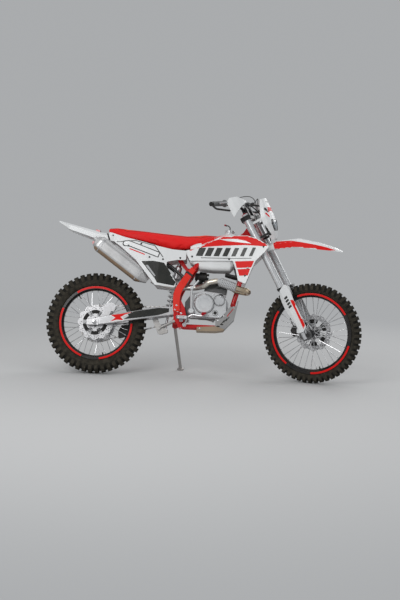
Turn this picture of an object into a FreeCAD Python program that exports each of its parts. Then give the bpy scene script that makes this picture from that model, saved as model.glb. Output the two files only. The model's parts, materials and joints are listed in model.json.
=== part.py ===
"""A dirt bike that leans on its side stand, with its bars turned to the right.

Lengths are millimetres. Every piece is drawn on the upright bike, whose axes are X forward from the
rear axle, Y to the rider's left and Z up from the ground. What steers is drawn in the fork's own axes:
A forward of the steering axis, Y to the left and U up along it, with the front axle at U = 0.
rest_pose() then turns the bars, leans the bike on its stand and puts the middle of its floor at the origin.
"""
import FreeCAD
import Part

import math
import os

from FreeCAD import Placement, Rotation, Vector

# Stance
WHEELBASE = 1481.0
RAKE = 28.5  # degrees between the steering axis and the upright
LEAN = 11.0  # degrees, to the left
STEER = 20.0  # degrees, bars turned to the right at rest
STEER_STOP = 42.0  # degrees each way from straight ahead
RUNNING_GAP = 0.1  # between a shaft and its bore
SEAT_GAP = 0.3  # between pieces that lie on each other

# Wheels
REAR_RADIUS = 345.0
REAR_TYRE_WIDTH = 108.0
REAR_RIM_RADIUS = 252.0
REAR_RIM_WIDTH = 66.0
REAR_RIM_DEPTH = 29.0
FRONT_RADIUS = 342.0
FRONT_TYRE_WIDTH = 86.0
FRONT_RIM_RADIUS = 278.0
FRONT_RIM_WIDTH = 52.0
FRONT_RIM_DEPTH = 30.0
RIM_FLANGE = 5.0
BEAD_DEPTH = 12.0
TYRE_WALL = 9.0
LUG_HEIGHT = 14.0
LUG_PITCHES = 16
SPOKE_RADIUS = 2.1
NIPPLE_RADIUS = 3.6
NIPPLE_LENGTH = 14.0
SPOKES = 36
SPOKE_CROSSING = 62.0  # degrees between a spoke's two ends
AXLE_RADIUS = 10.0
REAR_HUB_FLANGE = 36.0
REAR_HUB_HALF = 36.0
FRONT_HUB_FLANGE = 29.0
FRONT_HUB_HALF = 32.0

# Brakes and drive
DISC_THICKNESS = 4.0
REAR_DISC_RADIUS = 120.0
REAR_DISC_Y = -68.0
FRONT_DISC_RADIUS = 130.0
FRONT_DISC_Y = 60.0
DISC_LOBES = 12
DISC_SLOT = 8.0  # room between a caliper's halves
DISC_BOSS = 16.0  # hub beyond the disc's seat
SPROCKET_BOSS = 14.0  # hub beyond the sprocket's seat
CHAIN_PITCH = 15.875
CHAIN_WIDTH = 16.0
CHAIN_HALF_HEIGHT = 7.5
CHAIN_SLOT = 7.0
CHAIN_Y = 67.0
SPROCKET_THICKNESS = 6.0
REAR_TEETH = 50
FRONT_TEETH = 13
FRONT_SPROCKET_X = 640.0
FRONT_SPROCKET_Z = 452.0

# Swing arm and linkage
PIVOT_X = 560.0
PIVOT_Z = 452.0
PIVOT_RADIUS = 18.0
ARM_REAR_Y = 122.0  # outer face at the axle
ARM_REAR_WALL = 27.0
ARM_FRONT_Y = 86.0  # outer face at the pivot
ARM_FRONT_WALL = 10.0

# Frame
FRAME_TUBE = 16.0  # radius
BACKBONE_TUBE = 22.0
HEADER_TUBE = 19.0
GUARD_WALL = 3.3
CRADLE_TUBE = 13.0
CRADLE_Y = 92.0
CRADLE_Z = 346.0
SPAR_Y = 104.0
PIVOT_PLATE = 9.0
HEAD_TUBE_RADIUS = 29.0
STEM_RADIUS = 17.0
HEAD_LOW = 716.0  # along the steering axis
HEAD_HIGH = 868.0
SUBFRAME_TUBE = 11.0

# Fork
TUBE_OFFSET = 22.0  # fork tubes ahead of the steering axis
AXLE_LEAD = 26.0  # axle ahead of the fork tubes
FORK_HALF = 105.0  # centre plane to each fork tube
FORK_TUBE = 27.0
STANCHION = 22.0
SEAL_U = 358.0
FORK_TOP_U = 924.0
LOWER_CLAMP_U = 672.0
LOWER_CLAMP_HEIGHT = 36.0
UPPER_CLAMP_U = 880.0
UPPER_CLAMP_HEIGHT = 30.0
CLAMP_WALL = 10.0
LUG_HALF = 17.0  # half width of the axle lug

# Bars
BAR_RADIUS = 11.0
BAR_HALF = 400.0
BAR_CENTRE_A = 22.0
BAR_CENTRE_U = 958.0
GRIP_RADIUS = 17.0
GRIP_LENGTH = 122.0
BRACE_RADIUS = 6.0
BRACE_A = 14.0
BRACE_U = 1012.0

# Silencer, along its own axis from the rear of the can
OUTLET_END = -76.0
OUTLET_DEPTH = 56.0
OUTLET_RISE = 8.0
OUTLET_RADIUS = 16.5
OUTLET_WALL = 2.5
SILENCER_REAR = (31.0, -132.0, 862.0)
SILENCER_FRONT = (348.0, -104.0, 639.0)

# Panels
PANEL_WALL = 3.0

# Side stand
STAND_PIVOT = (534.0, 128.0, 362.0)
STAND_FOOT_X = 582.0
STAND_FOOT_Y = 296.0
STAND_TUBE = 11.0
STAND_FOOT_RADIUS = 24.0
STAND_FOOT_HEIGHT = 16.0
STAND_EYE_HALF = 11.0
STAND_BOLT = 6.0
STAND_FOLDED = (-0.96, 0.05, 0.25)  # the leg's direction when it is up

AXLE_OFFSET = TUBE_OFFSET + AXLE_LEAD
REAR_HUB_ENDS = {-1: -REAR_DISC_Y - DISC_THICKNESS / 2 + DISC_BOSS, 1: CHAIN_Y - SPROCKET_THICKNESS / 2 + SPROCKET_BOSS}
FRONT_HUB_ENDS = {-1: FRONT_HUB_HALF + SPROCKET_BOSS, 1: FRONT_DISC_Y - DISC_THICKNESS / 2 + DISC_BOSS}
UP = Vector(0, 0, 1)
LEFT = Vector(0, 1, 0)
FORWARD = Vector(1, 0, 0)


# Shape helpers


def points(rows):
    """Vectors from rows of three numbers."""
    return [Vector(*row) for row in rows]


def polygon(rows):
    """A closed wire through points."""
    corners = points(rows)
    return Part.makePolygon(corners + corners[:1])


def rounded(rows, radius):
    """A closed wire through corners, each rounded by an arc where its two sides leave room."""
    corners = points(rows)
    edges, ends = [], []
    count = len(corners)
    for i, corner in enumerate(corners):
        back = corners[i - 1] - corner
        ahead = corners[(i + 1) % count] - corner
        room = 0.45 * min(back.Length, ahead.Length)
        half = (math.pi - back.getAngle(ahead)) / 2
        if half < 0.01:
            ends.append((corner, corner))
            continue
        cut = min(radius * math.tan(half), room)
        size = cut / math.tan(half)
        back.normalize()
        ahead.normalize()
        inward = (back + ahead).normalize()
        middle = corner + inward * (size / math.cos(half) - size)
        start, end = corner + back * cut, corner + ahead * cut
        edges.append(Part.Arc(start, middle, end).toShape())
        ends.append((start, end))
    for i in range(count):
        start, end = ends[i][1], ends[(i + 1) % count][0]
        if (end - start).Length > 1e-6:
            edges.append(Part.LineSegment(start, end).toShape())
    return Part.Wire(Part.__sortEdges__(edges))


def side_outline(rows, y, radius=0.0):
    """A side-view outline of (x, z) corners, at one y."""
    at = [(x, y, z) for x, z in rows]
    return rounded(at, radius) if radius else polygon(at)


def side_prism(rows, y_low, y_high, radius=0.0):
    """A side-view outline given thickness from y_low to y_high."""
    face = Part.Face(side_outline(rows, y_low, radius))
    return face.extrude(Vector(0, y_high - y_low, 0))


def flat_prism(rows, z_low, z_high, radius=0.0):
    """A plan outline of (x, y) corners given height from z_low to z_high."""
    at = [(x, y, z_low) for x, y in rows]
    wire = rounded(at, radius) if radius else polygon(at)
    return Part.Face(wire).extrude(Vector(0, 0, z_high - z_low))


def rod(start, end, radius):
    """A round bar between two points."""
    a, b = Vector(*start), Vector(*end)
    return Part.makeCylinder(radius, (b - a).Length, a, b - a)


def cross_rod(x, z, y_low, y_high, radius):
    """A round bar across the bike."""
    return Part.makeCylinder(radius, y_high - y_low, Vector(x, y_low, z), LEFT)


def ring(x, z, y_low, y_high, outer, inner):
    """A round tube across the bike."""
    return cross_rod(x, z, y_low, y_high, outer).cut(cross_rod(x, z, y_low - 1, y_high + 1, inner))


def arc_path(rows, bend):
    """Straight runs joined by tangent arcs of radius bend, or as large as the runs allow."""
    corners = points(rows)
    edges, start = [], corners[0]
    for before, corner, after in zip(corners, corners[1:], corners[2:]):
        back, ahead = before - corner, after - corner
        room = 0.45 * min(back.Length, ahead.Length)
        half = (math.pi - back.getAngle(ahead)) / 2
        if half < 0.005:
            continue
        cut = min(bend * math.tan(half), room)
        size = cut / math.tan(half)
        back.normalize()
        ahead.normalize()
        inward = (back + ahead).normalize()
        first, last = corner + back * cut, corner + ahead * cut
        middle = corner + inward * (size / math.cos(half) - size)
        edges.append(Part.LineSegment(start, first).toShape())
        edges.append(Part.Arc(first, middle, last).toShape())
        start = last
    edges.append(Part.LineSegment(start, corners[-1]).toShape())
    return Part.Wire(edges)


def bent_bar(rows, radius, bend):
    """A round bar along straight runs and arcs."""
    corners = points(rows)
    profile = Part.Wire(Part.makeCircle(radius, corners[0], corners[1] - corners[0]))
    return arc_path(rows, bend).makePipeShell([profile], True, False)


def lathe(profile, base=Vector(0, 0, 0), axis=LEFT):
    """Turn a closed profile of (distance along the axis, radius) pairs round the axis."""
    wire = polygon([(radius, along, 0) for along, radius in profile])
    solid = Part.Face(wire).revolve(Vector(0, 0, 0), LEFT, 360)
    return moved(solid, Placement(base, Rotation(LEFT, axis)))


def moved(shape, placement):
    """A copy of a shape put where a placement says."""
    copy = shape.copy()
    copy.Placement = placement.multiply(copy.Placement)
    return copy


def mirrored(shape):
    """The same piece on the other side of the bike."""
    return shape.mirror(Vector(0, 0, 0), LEFT)


def both_sides(shape):
    """A piece and its mirror image, in one node."""
    return Part.makeCompound([shape, mirrored(shape)])


def fused(shapes):
    """One solid from overlapping shapes."""
    first, rest = shapes[0], shapes[1:]
    whole = first.multiFuse(rest) if rest else first
    return whole.removeSplitter()


def loft(wires):
    """A solid with straight ruling from each section to the next."""
    return Part.makeLoft(wires, True, True)


def polar(radius, degrees, y=0.0):
    """A point of a wheel, at an angle from straight ahead."""
    turn = math.radians(degrees)
    return (radius * math.cos(turn), y, radius * math.sin(turn))


# Wheels, each drawn round its own axle at the origin


def tyre_outline(radius, width, rim_radius, rim_width):
    """Half-section round a tyre's lugs, from the bead to the tread's middle."""
    seat = rim_radius - BEAD_DEPTH + SEAT_GAP
    inside = rim_width / 2 - RIM_FLANGE - SEAT_GAP
    half = width / 2
    return [
        (inside, seat),
        (inside, rim_radius + 3),
        (half * 0.86 - 3, rim_radius + 0.22 * (radius - rim_radius)),
        (half, radius - 0.26 * width),
        (half * 0.46, radius - 0.046 * width),
        (half * 0.30, radius - 0.012 * width),
        (0, radius),
    ]


LUG_BLOCKS = (
    # inner and outer edge as shares of half the tyre's width, half length, and place as a share of the pitch
    (-0.30, 0.30, 16.0, 0.0),
    (0.46, 1.0, 18.0, 0.5),
    (-1.0, -0.46, 18.0, 0.5),
)


def lugs(radius, width, lowest):
    """Blocks of tread, one of them centred on the wheel's lowest angle."""
    tips = {0.30: radius - 0.012 * width, 0.46: radius - 0.046 * width, 1.0: radius - 0.26 * width}
    blocks = []
    for low, high, half_length, phase in LUG_BLOCKS:
        turn, sink = (half_length**2 / (2 * radius), 9) if low * high > 0 else (0.0, 4)
        rows = [(y, tips[abs(y)] - turn) for y in (low, high)]
        rows += [(y, tips[abs(y)] - LUG_HEIGHT - sink) for y in (high, low)]
        face = Part.Face(polygon([(r, y * width / 2, -half_length) for y, r in rows]))
        block = face.extrude(Vector(0, 0, 2 * half_length))
        for i in range(LUG_PITCHES):
            angle = lowest + 360.0 / LUG_PITCHES * (i + phase)
            blocks.append(moved(block, Placement(Vector(0, 0, 0), Rotation(LEFT, -angle))))
    return blocks


def facetted_ring(rows, count, first):
    """A closed ring of flat faces, rows being (y, radius) from one side to the other, one face centred on first."""
    angles = [math.radians(first + 360.0 / count * (i + 0.5)) for i in range(count)]
    points = [[Vector(r * math.cos(a), y, r * math.sin(a)) for a in angles] for y, r in rows]
    faces = []
    for here, there in zip(points, points[1:]):
        for i in range(count):
            j = (i + 1) % count
            faces.append(Part.Face(Part.makePolygon([here[i], there[i], there[j], here[j], here[i]])))
    faces += [Part.Face(Part.makePolygon(ring + ring[:1])) for ring in (points[0], points[-1])]
    return Part.makeSolid(Part.makeShell(faces))


def tyre(radius, width, rim_radius, rim_width, lowest):
    """A knobbly tyre, lowest being the angle of its lowest point from straight ahead."""
    bead, foot, wall = tyre_outline(radius, width, rim_radius, rim_width)[:3]
    half = width / 2
    shoulder = (half - 0.6 * LUG_HEIGHT, radius - 0.26 * width - 0.5 * LUG_HEIGHT)
    crown = [(half * 0.64, radius - 0.08 * width - 0.9 * LUG_HEIGHT), (half * 0.36, radius - 0.02 * width - LUG_HEIGHT)]
    flats = [foot, wall, shoulder] + crown
    outside = [(-y, r) for y, r in flats] + [(y, r) for y, r in reversed(flats)]
    inner = [
        (bead[0] - TYRE_WALL, bead[1] - 5),
        (wall[0] - 1.5 * TYRE_WALL, wall[1] + 12),
        (crown[1][0], crown[1][1] - 1.6 * TYRE_WALL),
    ]
    hollow = facetted_ring([(-y, r) for y, r in inner] + list(reversed(inner)), LUG_PITCHES, lowest)
    seat = cross_rod(0, 0, -width, width, bead[1])
    carcass = facetted_ring(outside, 2 * LUG_PITCHES, lowest).cut(Part.makeCompound([seat, hollow]))
    return carcass.multiFuse(lugs(radius, width, lowest))


def rim(radius, width, depth):
    """A spoked rim: two flanges, the bead seats and the spoke bed."""
    half = width / 2
    seat = radius - BEAD_DEPTH
    bed = radius - depth
    outline = [(-half, radius), (-half, seat - 4), (-half * 0.62, bed + 7), (-half * 0.30, bed)]
    outline += [(half * 0.30, bed), (half * 0.62, bed + 7), (half, seat - 4), (half, radius)]
    outline += [(half - RIM_FLANGE, radius), (half - RIM_FLANGE, seat)]
    outline += [(RIM_FLANGE - half, seat), (RIM_FLANGE - half, radius)]
    return lathe(outline)


def spoke_lines(hub_radius, hub_half, bed_radius, bed_half):
    """The two ends of each spoke: hub flange and rim bed."""
    lines = []
    for i in range(SPOKES):
        side = 1 if i % 2 else -1
        lead = 1 if (i // 2) % 2 else -1
        at_rim = 360.0 / SPOKES * i
        at_hub = at_rim + lead * SPOKE_CROSSING
        lines.append((polar(hub_radius, at_hub, side * hub_half), polar(bed_radius, at_rim, side * bed_half)))
    return lines


def hexagon_bar(start, end, radius):
    """A six-sided bar between two points."""
    a, b = Vector(*start), Vector(*end)
    along = (b - a).normalize()
    across = along.cross(LEFT).normalize() * radius
    corners = [a + Rotation(along, 60.0 * i).multVec(across) for i in range(6)]
    return Part.Face(Part.makePolygon(corners + corners[:1])).extrude(b - a)


def spokes(flange, half, bed_radius, bed_half):
    """Spokes and their nipples, from inside the hub's flanges to the rim's bed."""
    bars = []
    for inner, outer in spoke_lines(flange - 5, half - 3, bed_radius - 2 * SEAT_GAP, bed_half):
        end, root = Vector(*outer), Vector(*inner)
        nipple_end = end + (root - end).normalize() * NIPPLE_LENGTH
        bars.append(hexagon_bar(inner, outer, SPOKE_RADIUS))
        bars.append(hexagon_bar(outer, nipple_end, NIPPLE_RADIUS))
    return bars


def hub(flange, half, disc_y, driven):
    """A spool-shaped hub with a seat for the disc and, on the driven wheel, one for the sprocket."""
    bore = AXLE_RADIUS + RUNNING_GAP
    waist = flange * 0.66
    seat = abs(disc_y) - DISC_THICKNESS / 2
    disc_side = [(half, flange), (half + 3, 40), (seat, 40), (seat, 24), (seat + DISC_BOSS, 24)]
    other = [(half, flange), (half + 3, 26), (half + SPROCKET_BOSS, 26)]
    if driven:
        face = CHAIN_Y - SPROCKET_THICKNESS / 2
        other = [(half, flange), (half + 3, 40), (face, 40), (face, 24), (face + SPROCKET_BOSS, 24)]
    left, right = (disc_side, other) if disc_y > 0 else (other, disc_side)
    outline = [(half - 8, waist), (half - 5, flange)] + left
    outline += [(left[-1][0], bore), (-right[-1][0], bore)]
    outline += [(-y, r) for y, r in reversed(right)] + [(5 - half, flange), (8 - half, waist)]
    return lathe(outline)


def brake_disc(radius, y, face_radius):
    """A wave disc: lobed edge, drilled band and open arms to the hub."""
    low, high = y - DISC_THICKNESS / 2, y + DISC_THICKNESS / 2
    lobe = radius * 0.16
    blank = cross_rod(0, 0, low, high, radius - lobe * 0.45)
    lobes = []
    for i in range(DISC_LOBES):
        x, _, z = polar(radius - lobe, 360.0 / DISC_LOBES * i)
        lobes.append(cross_rod(x, z, low, high, lobe))
    body = fused([blank] + lobes)
    band = radius * 0.70
    cuts = [cross_rod(0, 0, low - 1, high + 1, AXLE_RADIUS + 14.5)]
    for i in range(6):
        middle = 60.0 * i
        corners = [polar(band, middle + t) for t in (-21, -7, 7, 21)]
        corners += [polar(face_radius + 7, middle + t) for t in (12, -12)]
        cuts.append(side_prism([(x, z) for x, _, z in corners], low - 1, high + 1, 4))
    for i in range(2 * DISC_LOBES):
        x, _, z = polar(radius * (0.80 if i % 2 else 0.90), 180.0 / DISC_LOBES * i)
        cuts.append(cross_rod(x, z, low - 1, high + 1, radius * 0.03))
    return body.cut(Part.makeCompound(cuts))


def pitch_radius(teeth):
    """Radius of a chain's pitch circle on a sprocket."""
    return CHAIN_PITCH / (2 * math.sin(math.pi / teeth))


def sprocket_outline(teeth):
    """Corners of a toothed wheel, four to a tooth."""
    root, tip = pitch_radius(teeth) - 5.0, pitch_radius(teeth) + 3.2
    step = 360.0 / teeth
    corners = []
    for i in range(teeth):
        for share, radius in ((-0.36, root), (-0.14, tip), (0.14, tip), (0.36, root)):
            x, _, z = polar(radius, step * (i + share))
            corners.append((x, z))
    return corners


def rear_sprocket():
    """The toothed ring and its spider."""
    low, high = CHAIN_Y - SPROCKET_THICKNESS / 2, CHAIN_Y + SPROCKET_THICKNESS / 2
    body = side_prism(sprocket_outline(REAR_TEETH), low, high)
    outer = pitch_radius(REAR_TEETH) - 20
    inner = AXLE_RADIUS + 46
    cuts = [cross_rod(0, 0, low - 1, high + 1, AXLE_RADIUS + 14.5)]
    for i in range(6):
        middle = 60.0 * i
        corners = [polar(outer, middle + t) for t in (-22, -7, 7, 22)]
        corners += [polar(inner, middle + t) for t in (14, -14)]
        cuts.append(side_prism([(x, z) for x, _, z in corners], low - 1, high + 1, 6))
    return body.cut(Part.makeCompound(cuts))


# Chain


def belt_face(grow, y):
    """The area inside the chain's loop, grown from its pitch line."""
    big, small = pitch_radius(REAR_TEETH) + grow, pitch_radius(FRONT_TEETH) + grow
    reach = math.hypot(FRONT_SPROCKET_X, FRONT_SPROCKET_Z - REAR_RADIUS)
    slope = math.atan2(FRONT_SPROCKET_Z - REAR_RADIUS, FRONT_SPROCKET_X)
    lean = math.acos((big - small) / reach)
    rear, front = Vector(0, y, REAR_RADIUS), Vector(FRONT_SPROCKET_X, y, FRONT_SPROCKET_Z)

    def on(centre, radius, angle):
        return centre + Vector(radius * math.cos(angle), 0, radius * math.sin(angle))

    top, low = slope + lean, slope - lean
    edges = [
        Part.LineSegment(on(rear, big, top), on(front, small, top)).toShape(),
        Part.Arc(on(front, small, top), on(front, small, slope), on(front, small, low)).toShape(),
        Part.LineSegment(on(front, small, low), on(rear, big, low)).toShape(),
        Part.Arc(on(rear, big, low), on(rear, big, slope + math.pi), on(rear, big, top)).toShape(),
    ]
    return Part.Face(Part.Wire(edges))


def loop_solid(grow, y_low, y_high):
    """belt_face given thickness."""
    return belt_face(grow, y_low).extrude(Vector(0, y_high - y_low, 0))


def drive_chain():
    """The chain as one closed loop, open inside where the teeth run."""
    low, high = CHAIN_Y - CHAIN_WIDTH / 2, CHAIN_Y + CHAIN_WIDTH / 2
    loop = loop_solid(CHAIN_HALF_HEIGHT, low, high).cut(loop_solid(-CHAIN_HALF_HEIGHT, low - 1, high + 1))
    slot = loop_solid(3.8, CHAIN_Y - CHAIN_SLOT / 2, CHAIN_Y + CHAIN_SLOT / 2)
    return loop.cut(slot)


# Chassis


def arm_section(x, z, half_height, outer, wall):
    """Cross-section of the right-hand arm at one x."""
    corners = [
        (x, -outer, z - half_height),
        (x, -outer + wall, z - half_height),
        (x, -outer + wall, z + half_height),
        (x, -outer, z + half_height),
    ]
    return rounded(corners, 6)


def swing_arm():
    """Two tapered arms, the pivot tube, a cross box and the slotted axle ends."""
    sections = (
        # x, middle z, half height, share of the way from axle to pivot
        (-52, REAR_RADIUS - 4, 21, 0.0),
        (40, REAR_RADIUS + 10, 27, 0.0),
        (120, REAR_RADIUS + 26, 29, 0.1),
        (300, REAR_RADIUS + 64, 31, 0.4),
        (430, REAR_RADIUS + 91, 34, 0.8),
        (PIVOT_X, PIVOT_Z, 27, 1.0),
    )
    wires = []
    for x, z, half_height, share in sections:
        outer = ARM_REAR_Y + (ARM_FRONT_Y - ARM_REAR_Y) * share
        wall = ARM_REAR_WALL + (ARM_FRONT_WALL - ARM_REAR_WALL) * share
        wires.append(arm_section(x, z, half_height, outer, wall))
    arm = loft(wires)
    end = cross_rod(PIVOT_X, PIVOT_Z, -ARM_FRONT_Y, -ARM_FRONT_Y + ARM_FRONT_WALL, 28)
    half_slot = AXLE_RADIUS + RUNNING_GAP
    slot = side_prism(
        [
            (-26, REAR_RADIUS - half_slot),
            (16, REAR_RADIUS - half_slot),
            (16, REAR_RADIUS + half_slot),
            (-26, REAR_RADIUS + half_slot),
        ],
        -ARM_REAR_Y - 5,
        -ARM_REAR_Y + ARM_REAR_WALL + 5,
        half_slot,
    )
    arm = fused([arm, end]).cut(slot)
    cross = side_prism([(404, 412), (470, 424), (470, 466), (404, 460)], -84, 84, 10)
    pivot = cross_rod(PIVOT_X, PIVOT_Z, -ARM_FRONT_Y, ARM_FRONT_Y, PIVOT_RADIUS)
    lug = side_prism([(384, 430), (384, 384), (404, 364), (424, 384), (430, 430)], -16, 16, 8)
    whole = fused([arm, mirrored(arm), cross, pivot, lug])
    return whole.cut(cross_rod(PIVOT_X, PIVOT_Z, -200, 200, AXLE_RADIUS + RUNNING_GAP))


def rear_axle():
    """The axle, its ends, the chain adjuster blocks and the wheel's spacers."""
    outer, inner = ARM_REAR_Y, ARM_REAR_Y - ARM_REAR_WALL
    block = [(-30, REAR_RADIUS - 19), (28, REAR_RADIUS - 19), (28, REAR_RADIUS + 19), (-30, REAR_RADIUS + 19)]
    pieces = [cross_rod(0, REAR_RADIUS, -outer - 16, outer + 16, AXLE_RADIUS)]
    for side in (-1, 1):
        low = min(side * outer, side * (outer + 6))
        pieces.append(side_prism(block, low, low + 6, 5))
        low = min(side * (outer + 6), side * (outer + 14))
        pieces.append(cross_rod(0, REAR_RADIUS, low, low + 8, 17))
        hub_end = REAR_HUB_ENDS[side] + SEAT_GAP
        low = min(side * hub_end, side * inner)
        pieces.append(cross_rod(0, REAR_RADIUS, low, low + inner - hub_end, 14))
    return fused(pieces)


SPAR_PATH = (
    (742, -24, 836),
    (704, -72, 796),
    (655, -94, 737),
    (600, -SPAR_Y, 655),
    (552, -SPAR_Y, 560),
    (552, -SPAR_Y, 440),
    (575, -SPAR_Y + 6, CRADLE_Z),
    (640, -CRADLE_Y, CRADLE_Z),
    (860, -CRADLE_Y, CRADLE_Z),
    (912, -40, 430),
    (930, -14, 500),
)


def spar_tube(grow=0.0):
    """Right-hand spar, from the backbone's end down behind the engine to the pivot plate."""
    return bent_bar(SPAR_PATH[:6], FRAME_TUBE + grow, 60)


def cradle_tube(grow=0.0):
    """Right-hand rail under the engine, from the pivot plate to the down tube."""
    return bent_bar(SPAR_PATH[5:], CRADLE_TUBE + grow, 40)


def pivot_plate():
    """Right-hand plate that holds the swing arm's pivot and the foot peg."""
    outline = [(535, 520), (578, 520), (606, 468), (618, 420), (604, 372), (560, 356), (534, 392), (530, 460)]
    return side_prism(outline, -SPAR_Y - PIVOT_PLATE / 2, -SPAR_Y + PIVOT_PLATE / 2, 10)


def fork_frame():
    """Where the fork's axes lie on the upright bike."""
    turn = Rotation(LEFT, -RAKE)
    axle = Vector(WHEELBASE, 0, FRONT_RADIUS)
    return Placement(axle - turn.multVec(FORWARD * AXLE_OFFSET), turn)


def on_fork(a, y, u):
    """A point given in the fork's axes, on the upright bike."""
    return fork_frame().multVec(Vector(a, y, u))


BACKBONE = ((960, 0, 968), (742, 0, 836))


def frame():
    """Head tube, backbone, down tube, spars, cradle, plates and gussets, welded in one."""
    head = rod(on_fork(0, 0, HEAD_LOW), on_fork(0, 0, HEAD_HIGH), HEAD_TUBE_RADIUS)
    neck = on_fork(0, 0, (HEAD_LOW + HEAD_HIGH) / 2 + 30)
    foot = on_fork(0, 0, HEAD_LOW + 26)
    backbone = bent_bar([neck] + [Vector(*p) for p in BACKBONE], BACKBONE_TUBE, 120)
    down = bent_bar([foot, (1000, 0, 790), (962, 0, 620), (930, 0, 500)], FRAME_TUBE + 1, 200)
    cross_top = cross_rod(742, 836, -40, 40, 20)
    cross_low = cross_rod(575, CRADLE_Z, -SPAR_Y, SPAR_Y, CRADLE_TUBE)
    shock_cross = cross_rod(626, 716, -SPAR_Y, SPAR_Y, 13)
    shock_lug = side_prism([(626, 704), (626, 730), (566, 812), (544, 806), (544, 790)], -34, 34, 6)
    shock_lug = shock_lug.cut(Part.makeBox(90, 42, 60, Vector(520, -21, 770)))
    gusset = side_prism([(1052, 1050), (1004, 1046), (958, 972), (1040, 900), (1090, 930)], -20, 20, 8)
    tie = side_prism([(905, 440), (945, 440), (952, 520), (925, 520)], -26, 26, 6)
    sides = [spar_tube(), cradle_tube(), pivot_plate()]
    link_lug = side_prism([(566, 360), (566, 384), (548, 398), (528, 398), (516, 380), (528, 362)], -14, 14, 5)
    link_arm = rod((562, 0, 372), (575, 0, CRADLE_Z), 12)
    pieces = [head, backbone, down, cross_top, cross_low, shock_cross, shock_lug, gusset, tie, link_lug, link_arm]
    whole = fused(pieces + sides + [mirrored(s) for s in sides])
    bore = rod(on_fork(0, 0, HEAD_LOW - 5), on_fork(0, 0, HEAD_HIGH + 5), STEM_RADIUS + RUNNING_GAP)
    below = rod(on_fork(0, 0, HEAD_LOW - 60), on_fork(0, 0, HEAD_LOW), 2.2 * HEAD_TUBE_RADIUS)
    pivot = cross_rod(PIVOT_X, PIVOT_Z, -200, 200, AXLE_RADIUS + RUNNING_GAP)
    return whole.cut(Part.makeCompound([below, bore, pivot]))


def strip(rows, half):
    """Outline of a band of even width along a run of (x, z) points."""
    left, right = [], []
    for i, (x, z) in enumerate(rows):
        ahead = Vector(*rows[min(i + 1, len(rows) - 1)], 0) - Vector(*rows[max(i - 1, 0)], 0)
        ahead.normalize()
        left.append((x - ahead.y * half, z + ahead.x * half))
        right.append((x + ahead.y * half, z - ahead.x * half))
    return left + list(reversed(right))


def frame_guards():
    """Moulded covers clipped over the outside of the spars."""
    rows = [(x, z) for x, _, z in SPAR_PATH[2:6]]
    low = -SPAR_Y - FRAME_TUBE - GUARD_WALL
    cover = side_prism(strip(rows, FRAME_TUBE + 2), low, -SPAR_Y + 2, 14)
    return both_sides(cover)


def subframe():
    """Rails under the seat and their struts."""
    sides = []
    for y in (-62, 62):
        out = y / 62
        sides.append(bent_bar([(716, out * 56, 806), (600, y, 856), (330, y, 900), (96, y, 938)], SUBFRAME_TUBE, 60))
        sides.append(bent_bar([(604, out * 100, 664), (510, out * 78, 742), (262, y, 902)], SUBFRAME_TUBE, 60))
    ties = [cross_rod(x, z, -62, 62, SUBFRAME_TUBE - 2) for x, z in ((150, 929), (330, 900), (600, 856))]
    return fused(sides + ties)


def shock():
    """Damper body, spring, shaft and reservoir, from the frame's lug to the rocker."""
    low, high = Vector(474, 0, 318), Vector(556, 0, 796)
    axis = high - low
    length = axis.Length
    coil, free = 34.0, 12.0
    profile = [(0, 0), (0, 13), (22, 13), (22, 7), (96, 7), (96, 31), (106, 31)]
    for i in range(9):
        start = 106 + i * 28
        profile += [(start + 4, coil), (start + 14, coil), (start + 18, free + 12), (start + 28, free + 12)]
    profile += [(362, coil + 2), (380, coil + 2), (380, 26), (length - 40, 26), (length - 26, 14), (length, 14)]
    profile += [(length, 0)]
    body = lathe(profile, low, axis)
    eyes = [cross_rod(p.x, p.z, -16, 16, 16) for p in (low, high)]
    reservoir = lathe([(0, 0), (0, 22), (6, 26), (110, 26), (116, 22), (116, 0)], Vector(586, 52, 642),
                      Vector(40, 0, 100))
    return fused([body] + eyes), reservoir


def linkage():
    """The rocker under the swing arm and its pull rods to the frame."""
    rocker = side_prism([(404, 398), (388, 380), (410, 330), (430, 288), (452, 286), (494, 300), (494, 320),
                         (456, 336), (430, 372), (420, 392)], -26, 26, 10)
    rocker = rocker.cut(Part.makeBox(60, 34, 60, Vector(456, -17, 280)))
    rocker = rocker.cut(Part.makeBox(60, 34, 60, Vector(376, -17, 355)))
    rods = []
    for y in (-35, 35):
        rods.append(rod((434, y, 326), (532, y, 380), 7))
    pins = [cross_rod(434, 326, -44, 44, 9), cross_rod(532, 380, -44, 44, 9)]
    return fused([rocker] + rods + pins)


CASE_HALF = 80.0
CRANK = (736.0, 502.0)


def engine_cases():
    """The crankcase halves, open at the left for the front sprocket."""
    outline = [(606, 446), (640, 404), (880, 404), (905, 450), (900, 520), (856, 578), (736, 590), (650, 572),
               (606, 510)]
    body = side_prism(outline, -CASE_HALF, CASE_HALF, 14)
    pocket = Part.makeBox(110, 60, 120, Vector(590, 46, 392))
    shaft = cross_rod(FRONT_SPROCKET_X, FRONT_SPROCKET_Z, 40, 70, 12)
    neck = side_prism([(724, 560), (880, 560), (892, 610), (736, 610)], -66, 66, 10)
    return fused([body.cut(pocket), shaft, neck])


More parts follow.
